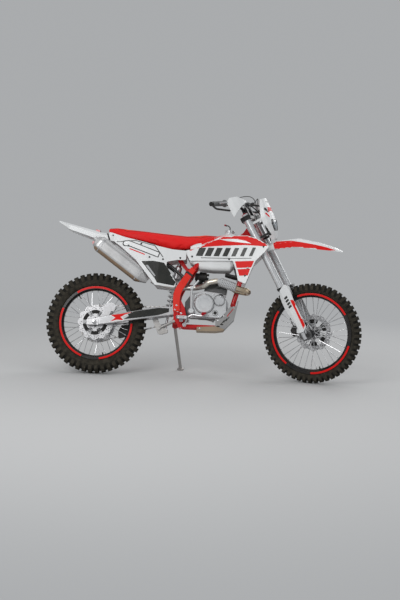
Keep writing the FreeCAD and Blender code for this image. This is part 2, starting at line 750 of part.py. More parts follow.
def engine_covers():
    """Clutch, filter, screen and generator covers, bolted to the cases."""
    face = -CASE_HALF
    side = [(664, 452), (690, 414), (850, 410), (888, 452), (884, 530), (852, 566), (740, 582), (672, 560)]
    right = [
        side_prism(side, face - 32, face, 14),
        lathe([(0, 0), (0, 66), (14, 66), (22, 58), (22, 0)], Vector(CRANK[0], face - 32, CRANK[1]), Vector(0, -1, 0)),
        lathe([(0, 0), (0, 36), (8, 36), (13, 30), (13, 0)], Vector(838, face - 32, 528), Vector(0, -1, 0)),
        lathe([(0, 0), (0, 17), (7, 17), (7, 0)], Vector(814, face - 32, 442), Vector(0, -1, 0)),
        lathe([(0, 0), (0, 26), (40, 22), (46, 16), (46, 0)], Vector(652, face, 448), Vector(0, -1, 0)),
    ]
    left = [
        side_prism([(704, 430), (850, 420), (884, 456), (878, 530), (840, 566), (740, 572), (704, 548)], CASE_HALF,
                   CASE_HALF + 16, 14),
        lathe([(0, 0), (0, 64), (16, 64), (26, 54), (26, 0)], Vector(756, CASE_HALF + 16, 494), LEFT),
    ]
    return Part.makeCompound([fused(right), fused(left)])


def slab(half_x, half_y, z_low, z_high):
    """A flat block with rounded upright edges, centred on the Z axis."""
    rows = [(-half_x, -half_y), (half_x, -half_y), (half_x, half_y), (-half_x, half_y)]
    return flat_prism(rows, z_low, z_high, 8)


def cylinder():
    """Finned barrel, head and cam cover, leaning forward a little."""
    base = Vector(808, 0, 610)
    layers = [slab(58, 54, 0, 132)]
    layers += [slab(74, 69, 6 + 10 * i, 10 + 10 * i) for i in range(7)]
    layers += [slab(70, 61, 74, 88), slab(60, 52, 104, 130)]
    tower = fused(layers)
    return moved(tower, Placement(base, Rotation(LEFT, 6)))


def intake():
    """Throttle body, its boot and the air box under the seat."""
    throat = lathe([(0, 0), (0, 26), (34, 26), (34, 34), (84, 34), (84, 25), (112, 25), (112, 0)], Vector(776, 0, 690),
                   Vector(-1, 0, 0.06))
    bowl = lathe([(0, 0), (0, 24), (40, 27), (52, 27), (52, 0)], Vector(694, 0, 640), UP)
    return fused([throat, bowl])


def header_pipe():
    """Exhaust pipe from the head's port round the down tube and back inside the frame."""
    path = [(868, -28, 660), (950, -42, 604), (1034, -56, 590), (1030, -114, 600), (952, -114, 616),
            (818, -128, 659), (762, -120, 647), (728, -104, 620), (676, -68, 612), (600, -60, 610), (500, -64, 612),
            (430, -90, 626), (372, -104, 646)]
    pipe = bent_bar(path, HEADER_TUBE, 46)
    chamber = lathe([(0, HEADER_TUBE - 4), (14, 30), (118, 30), (134, HEADER_TUBE - 4)], Vector(952, -114, 616),
                    Vector(-134, -14, 43))
    flange = lathe([(0, 0), (0, 34), (8, 34), (8, 0)], Vector(868, -28, 660), Vector(82, -14, -56))
    return fused([pipe, chamber, flange])


def oval(x, half_width, half_height, radius):
    """A rounded section across the silencer's own axis."""
    corners = [(x, -half_width, -half_height), (x, half_width, -half_height), (x, half_width, half_height),
               (x, -half_width, half_height)]
    return rounded(corners, radius)


def silencer():
    """Oval can with a tapered end cap and an inlet cone."""
    sections = (
        # along the axis, half width, half height, corner radius
        (-58, 26, 34, 24),
        (-34, 38, 52, 34),
        (-20, 42, 56, 38),
        (318, 42, 56, 38),
        (384, 22, 22, 20),
    )
    start = Vector(OUTLET_END, 0, OUTLET_RISE)
    outlet = Part.makeCylinder(OUTLET_RADIUS + OUTLET_WALL, OUTLET_DEPTH / 2, start, FORWARD)
    bore = Part.makeCylinder(OUTLET_RADIUS, OUTLET_DEPTH, start, FORWARD)
    can = fused([loft([oval(*s) for s in sections]), outlet]).cut(bore)
    return moved(can, silencer_place())


def silencer_place():
    """The silencer's own axes: X forward along the can, Y to the left, Z up."""
    rear, front = Vector(*SILENCER_REAR), Vector(*SILENCER_FRONT)
    along = (front - rear).normalize()
    across = UP.cross(along).normalize()
    return Placement(rear, Rotation(along, across, along.cross(across), "XYZ"))


def radiators():
    """Two finned radiators beside the down tube, with the brackets that carry them."""
    core = Part.makeBox(26, 58, 176, Vector(-13, -29, -88))
    fins = [Part.makeBox(32, 62, 3, Vector(-16, -31, -76 + 10.0 * i)) for i in range(16)]
    tanks = [Part.makeBox(38, 68, 22, Vector(-19, -34, z)) for z in (-104, 82)]
    louvres = [moved(Part.makeBox(3, 62, 13, Vector(-1.5, -31, -6.5)),
                     Placement(Vector(23, 0, -78 + 19.5 * i), Rotation(LEFT, -35))) for i in range(9)]
    rails = [Part.makeBox(16, 3, 190, Vector(14, y, -104)) for y in (-34, 31)]
    block = fused([core] + tanks + fins + louvres + rails)
    block = moved(block, Placement(Vector(992, -88, 800), Rotation(LEFT, 8)))
    arms = [rod((x, -62, z), (x, -4, z), 6) for x, z in ((986, 736), (1000, 786))]
    return both_sides(fused([block] + arms))


def ribbon(rows_low, rows_high, z_low, z_high, wall):
    """A shell of one thickness between two plan curves of (x, y), one above the other."""
    wires = []
    for rows, z in ((rows_low, z_low), (rows_high, z_high)):
        inner = [(x, y + wall) for x, y in reversed(rows)]
        wires.append(polygon([(x, y, z) for x, y in list(rows) + inner]))
    return loft(wires)


SHROUD_PLAN = (
    # x, y of the right-hand face: at the bottom, then at the top
    [(580, -118), (700, -124), (900, -134), (960, -150), (1010, -166), (1080, -186), (1175, -200)],
    [(580, -98), (700, -104), (900, -112), (960, -120), (1010, -134), (1080, -156), (1175, -178)],
)


def outside_of(low, high, z_low, z_high):
    """The room outside a ribbon's face."""
    far = 150
    return ribbon([(x, y - far) for x, y in low], [(x, y - far) for x, y in high], z_low, z_high, far)


def shrouds():
    """Right-hand radiator shroud, from the seat's side to the tip ahead of the fork, and its radiator tab."""
    low, high = SHROUD_PLAN
    outline = [(625, 791), (918, 801), (940, 740), (958, 665), (1008, 645), (1043, 740), (1070, 804), (1123, 859),
               (1158, 904), (1099, 943), (1057, 963), (1012, 976), (960, 977), (874, 971), (823, 962), (755, 924),
               (685, 887), (628, 868), (590, 859)]
    shell = ribbon(low, high, 600, 1000, PANEL_WALL)
    side = shell.common(side_prism(outline, -260, 0, 10))
    vents = [side_prism([(1008, 700), (1016, 700), (1028, 756), (1012, 756)], -260, 0, 3)]
    side = side.cut(Part.makeCompound(vents))
    tab = side_prism([(984, 742), (1004, 742), (1004, 760), (984, 760)], -158, -119, 4)
    tab = tab.cut(outside_of(low, high, 600, 1000))
    return side, tab


def tank_section(x, low, high, half_width, radius):
    """One upright section across the tank."""
    corners = [(x, -half_width, low), (x, half_width, low), (x, half_width, high), (x, -half_width, high)]
    return rounded(corners, radius)


def fuel_tank():
    """Saddle tank over the backbone."""
    sections = (
        # x, bottom, top, half width, corner radius
        (626, 782, 900, 88, 16),
        (700, 738, 925, 100, 24),
        (780, 732, 965, 106, 26),
        (900, 734, 990, 108, 28),
        (924, 760, 992, 98, 26),
        (966, 850, 985, 58, 20),
    )
    body = loft([tank_section(*s) for s in sections])
    filler = lathe([(0, 0), (0, 30), (30, 30), (30, 0)], Vector(888, 0, 978), Vector(0.05, 0, 1))
    return fused([body, filler])


def tank_tunnel():
    """The room that the tank leaves for the backbone, the engine's top and the air intake."""
    top = [(600, 780), (742, 870), (966, 1006), (1010, 1006), (1010, 700), (600, 700)]
    return side_prism(top, -BACKBONE_TUBE - 3, BACKBONE_TUBE + 3).fuse(
        side_prism([(600, 700), (980, 700), (980, 780), (600, 780)], -70, 70))


def fuel_cap():
    """Screw cap with its vent hose and valve."""
    cap = lathe([(0, 0), (0, 34), (14, 34), (18, 28), (18, 0)], Vector(889, 0, 1008), Vector(0.05, 0, 1))
    grips = []
    for i in range(10):
        x, _, y = polar(35, 36.0 * i)
        grips.append(Part.makeCylinder(4, 14, Vector(889 + x, y, 1008)))
    hose = bent_bar([(890, 0, 1024), (890, 0, 1048), (876, -4, 1060), (862, -4, 1058)], 3.5, 12)
    valve = rod((866, -4, 1059), (850, -4, 1064), 6)
    return fused([cap.cut(Part.makeCompound(grips)), hose, valve])


def seat():
    """Long seat from the tail to the fuel cap."""
    sections = (
        # x, bottom, top, half width
        (54, 974, 1005, 60),
        (181, 938, 991, 76),
        (291, 914, 983, 86),
        (412, 884, 973, 94),
        (510, 866, 966, 96),
        (600, 864, 961, 90),
        (685, 889, 970, 78),
        (755, 926, 984, 64),
        (818, 966, 991, 46),
    )
    wires = []
    for x, low, high, half in sections:
        crown = min(20.0, 0.45 * (high - low))
        corners = [(x, -half, low), (x, half, low), (x, half, high - crown), (x, half * 0.72, high),
                   (x, -half * 0.72, high), (x, -half, high - crown)]
        wires.append(rounded(corners, 8))
    return loft(wires)


PANEL_TOP = [(40, -74), (200, -92), (330, -98), (420, -100), (480, -102), (610, -104)]
PANEL_FOOT = {
    # x, y of the face at the foot: over the silencer, and on the plain side
    -1: [(40, -140), (200, -172), (330, -178), (420, -172), (480, -150), (610, -124)],
    1: [(40, -96), (200, -112), (330, -122), (420, -126), (480, -126), (610, -124)],
}


def side_panel(side):
    """Panel below the seat, drawn on the right. The one for the right side covers the silencer's inlet."""
    outline = [(60, 966), (63, 931), (160, 861), (261, 777), (399, 610), (533, 602), (541, 635), (469, 747),
               (472, 776), (538, 791), (600, 794), (600, 858), (510, 862), (412, 880), (291, 910), (181, 934),
               (80, 966)]
    low, high = PANEL_FOOT[side], PANEL_TOP
    shell = ribbon(low, high, 590, 980, PANEL_WALL)
    posts = posts_to(low, high, 590, 980, ((290, 894), (560, 806), (444, 792)), -64)
    return fused([shell.common(side_prism(outline, -260, 0, 10))] + posts)


def fender_shell(sections, wall):
    """A fender from sections of (x, rim, crown, half width), open below."""
    outer, inner = [], []
    for x, rim, crown, half in sections:
        shoulder = crown - 0.35 * (crown - rim)
        outer.append(polygon([(x, -half, rim), (x, -half * 0.96, shoulder), (x, -half * 0.62, crown - 2),
                              (x, 0, crown), (x, half * 0.62, crown - 2), (x, half * 0.96, shoulder),
                              (x, half, rim)]))
        inner.append(polygon([(x, wall - half, rim - 1), (x, wall - half * 0.96, shoulder - wall),
                              (x, wall - half * 0.62, crown - 2 - wall), (x, 0, crown - wall),
                              (x, half * 0.62 - wall, crown - 2 - wall), (x, half * 0.96 - wall, shoulder - wall),
                              (x, half - wall, rim - 1)]))
    return loft(outer).cut(loft(inner))


def rear_fender():
    """Rear fender from under the seat up to its tip."""
    return fender_shell(
        (
            # x, rim, crown, half width
            (-290, 1030, 1042, 44),
            (-212, 978, 1022, 72),
            (10, 908, 968, 92),
            (80, 906, 962, 94),
            (240, 898, 940, 84),
        ),
        PANEL_WALL,
    )


def tail_light():
    """Lamp on its bracket under the fender, above the silencer's end."""
    return side_prism([(-58, 898), (-50, 882), (-14, 884), (-4, 930), (-4, 985), (-34, 990), (-40, 930)], -32, 32, 5)


def skid_plate():
    """Plate under the cradle, bent up in front."""
    flat = [(600, -100), (600, 100), (818, 110), (846, 104), (846, -104), (818, -110)]
    outline = [(690, 316), (816, 318), (873, 327), (945, 406), (970, 534), (962, 534), (937, 410), (868, 332),
               (814, 323), (690, 321)]
    sheet = side_prism(outline, -118, 118)
    wall_rows = [(694, 318), (816, 320), (870, 330), (941, 408), (958, 500), (909, 485), (859, 409), (818, 400),
                 (818, 353), (694, 342)]
    sheet = sheet.common(flat_prism([(680, -118), (680, 118), (880, 118), (1000, 62), (1000, -62), (880, -118)], 300, 560))
    side = side_prism(wall_rows, -118, -115).common(
        flat_prism([(680, -118), (680, 0), (1000, 0), (1000, -62), (880, -118)], 300, 560))
    flank = Part.Face(polygon([(880, -118, 300), (1000, -62, 300), (1000, -62, 560), (880, -118, 560)]))
    flank = flank.extrude(Vector(0, 3, 0)).common(side_prism(wall_rows, -130, 0))
    pads = [rod((720, -92, 321), (720, -92, 334), 10), rod((820, -92, 321), (820, -92, 334), 10)]
    whole = fused([sheet, side, flank, mirrored(side), mirrored(flank)] + pads + [mirrored(p) for p in pads])
    return whole


def foot_pegs():
    """Toothed pegs folded out from the pivot plates."""
    low = -SPAR_Y - PIVOT_PLATE / 2
    arm = side_prism([(574, 372), (600, 372), (600, 404), (574, 404)], low - 26, low, 6)
    frame_ring = flat_prism([(560, low - 24), (626, low - 24), (634, low - 40), (628, low - 96), (606, low - 104),
                             (566, low - 104), (556, low - 92), (552, low - 40)], 388, 408, 8)
    hollow = flat_prism([(566, low - 36), (618, low - 36), (622, low - 88), (572, low - 92)], 380, 420, 5)
    bar = Part.makeBox(5, 66, 16, Vector(592, low - 98, 390))
    peg = fused([arm, frame_ring.cut(hollow), bar])
    teeth = []
    for i in range(8):
        y = low - 34 - 8.0 * i
        for x in (550, 614):
            teeth.append(Part.makeBox(24, 4, 8, Vector(x, y - 2, 402)))
    return both_sides(peg.cut(Part.makeCompound(teeth)))


def brake_pedal():
    """Rear brake pedal from its pivot below the right peg to the tip."""
    arm = bent_bar([(610, -122, 352), (628, -132, 402), (660, -134, 424), (720, -142, 414), (742, -146, 428)], 7, 30)
    boss = cross_rod(610, 352, -132, -101, 13)
    tip = side_prism([(720, 424), (752, 428), (758, 440), (726, 438)], -168, -138, 3)
    return fused([arm, boss, tip])


def gear_lever():
    """Gear lever on the left."""
    arm = bent_bar([(700, 120, 430), (744, 134, 414), (800, 142, 404)], 6, 30)
    boss = cross_rod(700, 430, CASE_HALF, 128, 11)
    tip = cross_rod(800, 404, 138, 172, 9)
    return fused([arm, boss, tip])


def kick_starter():
    """Folded kick-starter on the right."""
    arm = bent_bar([(652, -138, 448), (648, -146, 560), (650, -150, 606)], 8, 60)
    boss = cross_rod(652, 448, -148, -126, 16)
    foot = rod((648, -150, 598), (694, -150, 654), 6.5)
    joint = cross_rod(650, 602, -162, -142, 12)
    return fused([arm, boss, foot, joint])


def rear_caliper():
    """Rear brake caliper and its bracket, above the right arm."""
    body = side_prism([(60, 418), (128, 426), (140, 462), (110, 486), (58, 468)], -92, -46, 8)
    slot = cross_rod(0, REAR_RADIUS, REAR_DISC_Y - DISC_SLOT / 2, REAR_DISC_Y + DISC_SLOT / 2, REAR_DISC_RADIUS + 5)
    bracket = side_prism([(-22, 330), (22, 330), (96, 400), (110, 430), (70, 430), (18, 372), (-22, 366)], -93, -84, 6)
    return fused([body.cut(slot), bracket])


def chain_guide():
    """Guide that hangs below the left arm round the chain's lower run."""
    outer = side_prism([(152, 246), (236, 272), (242, 326), (228, 352), (172, 344), (148, 300)], CHAIN_Y - 14,
                       CHAIN_Y + 14, 8)
    tab = side_prism([(176, 338), (226, 346), (224, 358), (178, 352)], CHAIN_Y, ARM_REAR_Y - 16, 3)
    return fused([outer, tab]).cut(loop_solid(CHAIN_HALF_HEIGHT + 3, CHAIN_Y - 10, CHAIN_Y + 10))


def front_sprocket():
    """The gearbox sprocket inside the chain's front bend."""
    low, high = CHAIN_Y - SPROCKET_THICKNESS / 2, CHAIN_Y + SPROCKET_THICKNESS / 2
    body = moved(side_prism(sprocket_outline(FRONT_TEETH), low, high),
                 Placement(Vector(FRONT_SPROCKET_X, 0, FRONT_SPROCKET_Z), Rotation()))
    return body


# Steering, drawn in the fork's axes


def fork_tube():
    """The left outer tube with its seal ring and cap."""
    profile = [(SEAL_U, STANCHION), (SEAL_U, FORK_TUBE + 2), (SEAL_U + 14, FORK_TUBE + 2), (SEAL_U + 14, FORK_TUBE - 2),
               (LOWER_CLAMP_U - 30, FORK_TUBE - 2), (LOWER_CLAMP_U - 20, FORK_TUBE), (FORK_TOP_U - 16, FORK_TUBE),
               (FORK_TOP_U - 16, FORK_TUBE - 5), (FORK_TOP_U, FORK_TUBE - 5), (FORK_TOP_U, 0), (SEAL_U + 60, 0),
               (SEAL_U + 60, STANCHION)]
    return lathe(profile, Vector(TUBE_OFFSET, FORK_HALF, 0), UP)


def fork_slider():
    """The left inner tube and the lug that holds the axle."""
    tube = Part.makeCylinder(STANCHION, SEAL_U + 60 + 20, Vector(TUBE_OFFSET, FORK_HALF, -20))
    lug = side_prism([(72, 14), (66, -22), (40, -34), (10, -26), (-8, 6), (-6, 70), (52, 70), (56, 34)],
                     FORK_HALF - LUG_HALF, FORK_HALF + LUG_HALF, 12)
    bore = cross_rod(AXLE_OFFSET, 0, 0, 200, AXLE_RADIUS)
    return fused([tube, lug]).cut(bore)


def front_axle():
    """Front axle, its ends and the wheel's spacers."""
    outer = FORK_HALF + LUG_HALF
    inner = FORK_HALF - LUG_HALF
    pieces = [cross_rod(AXLE_OFFSET, 0, -outer - 2, outer + 2, AXLE_RADIUS)]
    for side in (-1, 1):
        hub_end = FRONT_HUB_ENDS[side] + SEAT_GAP
        low = min(side * hub_end, side * inner)
        pieces.append(cross_rod(AXLE_OFFSET, 0, low, low + inner - hub_end, 13))
        low = min(side * outer, side * (outer + 5))
        pieces.append(cross_rod(AXLE_OFFSET, 0, low, low + 5, 13))
    return fused(pieces)


def fork_guard():
    """The left slider's guard, open at the back."""
    outline = [(58, 378), (77, 347), (69, 263), (65, 56), (40, 34), (8, 34), (-16, 45), (10, 71), (10, 104),
               (-6, 161), (-14, 237), (-5, 310), (15, 350)]
    plan = [(-20, 110), (-10, 130), (16, 140), (48, 138), (70, 124), (79, 104), (74, 86)]
    inner = [(-17, 107), (-8, 127), (17, 137), (47, 135), (67, 122), (76, 104), (71, 87)]
    shell = flat_prism(plan + list(reversed(inner)), 20, 390)
    shell = shell.common(side_prism(outline, 60, 160, 8))
    posts = [rod((22, FORK_HALF + 20, 250), (22, 138, 250), 6), rod((30, FORK_HALF + LUG_HALF, 54), (30, 138, 54), 6)]
    return fused([shell] + posts)


def clamp_outline(front, back):
    """Plan of a fork clamp."""
    ring_radius = FORK_TUBE + CLAMP_WALL
    low, high = TUBE_OFFSET - ring_radius, TUBE_OFFSET + ring_radius
    outer = FORK_HALF + ring_radius
    return [(low, -outer + 12), (low - back, -40), (low - back, 40), (low, outer - 12), (TUBE_OFFSET, outer),
            (high, outer - 12), (high - front, 50), (high - front, -50), (high, -outer + 12), (TUBE_OFFSET, -outer)]


def fork_clamps():
    """Stem, both clamps and the bar mounts."""
    lower = flat_prism(clamp_outline(14, 0), LOWER_CLAMP_U - LOWER_CLAMP_HEIGHT / 2,
                       LOWER_CLAMP_U + LOWER_CLAMP_HEIGHT / 2, 12)
    upper = flat_prism(clamp_outline(20, 14), UPPER_CLAMP_U, UPPER_CLAMP_U + UPPER_CLAMP_HEIGHT, 12)
    stem = Part.makeCylinder(STEM_RADIUS, UPPER_CLAMP_U + UPPER_CLAMP_HEIGHT + 8 - LOWER_CLAMP_U,
                             Vector(0, 0, LOWER_CLAMP_U))
    nut = Part.makeCylinder(STEM_RADIUS + 2, 10, Vector(0, 0, UPPER_CLAMP_U + UPPER_CLAMP_HEIGHT))
    top = UPPER_CLAMP_U + UPPER_CLAMP_HEIGHT
    mounts = [side_prism([(2, top - 2), (42, top - 2), (40, BAR_CENTRE_U + 16), (4, BAR_CENTRE_U + 16)], y - 12, y + 12, 6)
              for y in (-50, 50)]
    whole = fused([lower, upper, stem, nut] + mounts)
    bores = [Part.makeCylinder(FORK_TUBE, 400, Vector(TUBE_OFFSET, y, 600)) for y in (-FORK_HALF, FORK_HALF)]
    return whole.cut(Part.makeCompound(bores))


BAR_PATH = (
    (-67, -BAR_HALF, 1045),
    (-10, -235, 1024),
    (14, -160, 1012),
    (BAR_CENTRE_A, -64, BAR_CENTRE_U),
    (BAR_CENTRE_A, 64, BAR_CENTRE_U),
    (14, 160, 1012),
    (-10, 235, 1024),
    (-67, BAR_HALF, 1045),
)


def bar_point(y, drop=0.0):
    """A point on the left grip's line, at one y."""
    share = (y - 235) / (BAR_HALF - 235)
    return Vector(-10 - 57 * share, y, 1024 + 21 * share - drop)


def handlebar():
    """The bar with its cross brace."""
    bar = bent_bar(BAR_PATH, BAR_RADIUS, 60)
    brace = bent_bar([(BRACE_A, -156, BRACE_U - 2), (BRACE_A, -120, BRACE_U), (BRACE_A, 120, BRACE_U),
                      (BRACE_A, 156, BRACE_U - 2)], BRACE_RADIUS, 20)
    return fused([bar, brace])


def bar_sleeve(y_low, y_high, radius, bore=BAR_RADIUS):
    """A sleeve on the left end of the bar."""
    low, high = bar_point(y_low), bar_point(y_high)
    return rod(low, high, radius).cut(rod(low - (high - low), high + (high - low), bore))


def grips():
    """Rubber grips with an inner flange."""
    sleeve = bar_sleeve(BAR_HALF - GRIP_LENGTH, BAR_HALF - 2, GRIP_RADIUS)
    flange = bar_sleeve(BAR_HALF - GRIP_LENGTH - 4, BAR_HALF - GRIP_LENGTH, GRIP_RADIUS + 8)
    return both_sides(fused([sleeve, flange]))


def controls():
    """Lever perches, levers, master cylinder and switches."""
    perch = bar_sleeve(238, 268, BAR_RADIUS + 6)
    near = bar_point(252)
    mount = rod(near + Vector(12, 0, -2), near + Vector(42, 0, -6), 9)
    lever = bent_bar([near + Vector(38, 0, -6), near + Vector(40, 30, -8), near + Vector(20, 96, -6),
                      near + Vector(-8, 150, 0)], 5, 40)
    left = fused([perch, mount, lever])
    reservoir = Part.makeCylinder(17, 34, near + Vector(30, -12, -14))
    right = mirrored(fused([perch, mount, lever, reservoir]))
    return Part.makeCompound([left, right])


def hand_guards():
    """Shields and the bars that carry them."""
    plan = [(96, 196), (88, 232), (68, 276), (40, 312), (8, 334)]
    inner = [(x - 3, y - 2) for x, y in plan]
    outline = [(31, 1041), (72, 1031), (93, 995), (92, 976), (0, 903), (-15, 922), (8, 1020)]
    shield = flat_prism(plan + list(reversed(inner)), 890, 1050).common(side_prism(outline, 150, 360, 10))
    bar = bent_bar([bar_point(BAR_HALF + 9) + Vector(-2, 0, 0), bar_point(BAR_HALF + 9) + Vector(14, 2, -44), (0, 336, 962),
                    (40, 300, 962), (82, 222, 968), (56, 190, 985), (10, 178, 1012)], 6.5, 24)
    plug = rod(bar_point(BAR_HALF), bar_point(BAR_HALF + 16), 15)
    return both_sides(fused([shield, bar, plug]))


def mask_section(u, front, side, half, inset=0.0):
    """Plan of the mask at one height."""
    front, half = front - inset, half - inset
    rows = [(side, -half), (side + 0.55 * (front - side), -half * 0.94), (front - 6, -half * 0.66), (front, -half * 0.3),
            (front, half * 0.3), (front - 6, half * 0.66), (side + 0.55 * (front - side), half * 0.94), (side, half)]
    return polygon([(a, y, u) for a, y in rows])


MASK = (
    # u, front, side, half width
    (689, 126, 100, 52),
    (735, 146, 104, 82),
    (800, 166, 110, 104),
    (850, 171, 114, 108),
    (911, 176, 131, 92),
    (972, 178, 150, 58),
)


def number_mask():
    """Number mask round the headlight, with straps to the fork."""
    outer = loft([mask_section(*row) for row in MASK])
    inner = loft([mask_section(u, f, s - 1, h, PANEL_WALL) for u, f, s, h in MASK])
    shell = outer.cut(inner)
    window = lamp_window(0.0)
    arms = [Part.makeBox(end - TUBE_OFFSET, 5, 16, Vector(TUBE_OFFSET, y, u)) for end, y, u in ((126, 75, 730), (142, 96, 838))]
    shell = shell.cut(window)
    return shell, arms


def lamp_window(inset):
    """Prism through the mask where the lamp looks out."""
    rows = [(-62, 816), (62, 816), (70, 790), (40, 738), (-40, 738), (-70, 790)]
    rows = [(y * (1 - inset / 60), 779 + (u - 779) * (1 - inset / 60)) for y, u in rows]
    wire = rounded([(90, y, u) for y, u in rows], 10)
    return Part.Face(wire).extrude(Vector(120, 0, 0))


def headlight():
    """Lamp body with a bulging lens in the mask's window."""
    outer = loft([mask_section(u, f + 1, s - 1, h + 1) for u, f, s, h in MASK])
    back = Part.makeBox(200, 400, 400, Vector(120, -200, 600))
    return outer.common(lamp_window(0.3)).common(back)


def front_fender():
    """Front fender, drawn on the upright bike and carried by the lower clamp."""
    return fender_shell(
        (
            # x, rim, crown, half width
            (1150, 890, 928, 58),
            (1230, 912, 968, 66),
            (1377, 930, 988, 84),
            (1516, 918, 963, 74),
            (1630, 908, 931, 46),
            (1682, 900, 906, 14),
        ),
        PANEL_WALL,
    )


def front_caliper():
    """Front brake caliper and its bracket, behind the left slider."""
    body = side_prism([(-92, 40), (-50, 8), (-16, 24), (-22, 84), (-60, 104), (-88, 84)], 42, 84, 8)
    slot = cross_rod(AXLE_OFFSET, 0, FRONT_DISC_Y - DISC_SLOT / 2, FRONT_DISC_Y + DISC_SLOT / 2, FRONT_DISC_RADIUS + 4)
    bracket = side_prism([(-40, 20), (0, -4), (12, 30), (0, 62), (-40, 70)], 78, FORK_HALF - LUG_HALF + 2, 5)
    return fused([body.cut(slot), bracket])


def brake_hose():
    """Front brake hose from the caliper up the left leg and across to the lever."""
    route = [(-60, 66, 98), (-66, 76, 150), (-30, 112, 260), (-14, 118, 420), (0, 138, 600), (36, 146, 700),
             (76, 120, 760), (92, 60, 860), (86, -60, 960), (56, -190, 1004), (28, -240, 1016)]
    return bent_bar(route, 4, 60)


# Rest pose


def wheel_low(place, radius, width):
    """Height of a tyre's lowest point, its section taken from tyre_outline."""
    spin = place.Rotation.multVec(LEFT)
    level = math.sqrt(1 - spin.z**2)
    rows = [(0, radius), (width / 2 * 0.30, radius - 0.012 * width), (width / 2 * 0.46, radius - 0.046 * width)]
    lows = []
    for y, r in rows:
        for side in (-1, 1):
            lows.append(place.multVec(LEFT * (side * y)).z - r * level)
    return min(lows)


def steer_turn():
    """Turn of the steered pieces from straight ahead, about the steering axis."""
    foot, head = on_fork(0, 0, 0), on_fork(0, 0, 1)
    return Placement(Vector(0, 0, 0), Rotation(head - foot, -STEER), foot)


def rest_lean():
    """Lean and pitch that put both tyres on the floor."""
    lean = Placement(Vector(0, 0, 0), Rotation(FORWARD, -LEAN))
    rear = Placement(Vector(0, 0, REAR_RADIUS), Rotation())
    front = steer_turn().multiply(Placement(Vector(WHEELBASE, 0, FRONT_RADIUS), Rotation()))
    pose = lean
    for _ in range(4):
        rear_low = wheel_low(pose.multiply(rear), REAR_RADIUS, REAR_TYRE_WIDTH)
        front_low = wheel_low(pose.multiply(front), FRONT_RADIUS, FRONT_TYRE_WIDTH)
        pitch = math.degrees(math.atan2(front_low - rear_low, WHEELBASE))
        pose = Placement(Vector(0, 0, 0), Rotation(LEFT, pitch)).multiply(pose)
    rear_low = wheel_low(pose.multiply(rear), REAR_RADIUS, REAR_TYRE_WIDTH)
    return Placement(Vector(0, 0, -rear_low), Rotation()).multiply(pose)


# Side stand


def stand_sole():
    """Middle of the stand's foot on the floor, on the upright bike."""
    pose = rest_lean()
    foot = pose.multVec(Vector(STAND_FOOT_X, STAND_FOOT_Y, 0))
    rise = pose.Rotation.multVec(UP).z
    return Vector(STAND_FOOT_X, STAND_FOOT_Y, -foot.z / rise)


def stand_hinge():
    """Hinge line of the stand and the turn that folds its leg up."""
    leg = (stand_sole() - Vector(*STAND_PIVOT)).normalize()
    folded = Vector(*STAND_FOLDED).normalize()
    between = (leg - folded).normalize()
    axis = (LEFT - between * LEFT.dot(between)).normalize()
    first = leg - axis * leg.dot(axis)
    last = folded - axis * folded.dot(axis)
    return axis, math.degrees(first.getAngle(last))


def side_stand():
    """Leg, eye and foot, down on the floor."""
    pivot, sole = Vector(*STAND_PIVOT), stand_sole()
    axis, _ = stand_hinge()
    floor_up = rest_lean().Rotation.inverted().multVec(UP)
    ankle = sole + floor_up * STAND_FOOT_HEIGHT
    leg = rod(pivot, ankle, STAND_TUBE)
    eye = Part.makeCylinder(STAND_TUBE + 4, 2 * STAND_EYE_HALF, pivot - axis * STAND_EYE_HALF, axis)
    foot = lathe([(0, 0), (0, STAND_FOOT_RADIUS - 3), (3, STAND_FOOT_RADIUS), (9, STAND_FOOT_RADIUS),
                  (STAND_FOOT_HEIGHT + 4, STAND_TUBE + 2), (STAND_FOOT_HEIGHT + 4, 0)], sole, floor_up)
    bore = Part.makeCylinder(STAND_BOLT + RUNNING_GAP, 80, pivot - axis * 40, axis)
    room = Part.makeCylinder(STAND_BOLT + 5, 30, pivot + axis * STAND_EYE_HALF, axis)
    return fused([leg, eye, foot]).cut(Part.makeCompound([bore, room]))


def stand_mount():
    """The frame's lug and bolt for the stand."""
    pivot = Vector(*STAND_PIVOT)
    axis, _ = stand_hinge()
    face = STAND_EYE_HALF + SEAT_GAP
    lug = Part.makeCylinder(STAND_TUBE + 5, 18, pivot - axis * (face + 18), axis)
    bolt = Part.makeCylinder(STAND_BOLT, 18 + 2 * face + 4, pivot - axis * (face + 18), axis)
    head = Part.makeCylinder(STAND_BOLT + 4, 5, pivot + axis * face, axis)
    plate = side_prism([(534, 400), (566, 380), (562, 344), (540, 336), (518, 344), (518, 376)],
                       SPAR_Y - PIVOT_PLATE / 2, SPAR_Y + PIVOT_PLATE / 2, 6)
    return [lug, bolt, head, plate]


# Assembly


def clear(shape, *others):
    """A piece with the room that its neighbours take cut out of it."""
    return shape.cut(Part.makeCompound(list(others)))


def biggest(shape):
    """The largest solid of a cut piece."""
    return max(shape.Solids, key=lambda solid: solid.Volume)


def posts_to(low, high, z_low, z_high, places, y_inner, radius=8.0):
    """Bosses from y_inner out to a ribbon's face."""
    beyond = outside_of(low, high, z_low, z_high)
    bars = [cross_rod(x, z, -210, y_inner, radius) for x, z in places]
    return [bar.cut(beyond) for bar in bars]


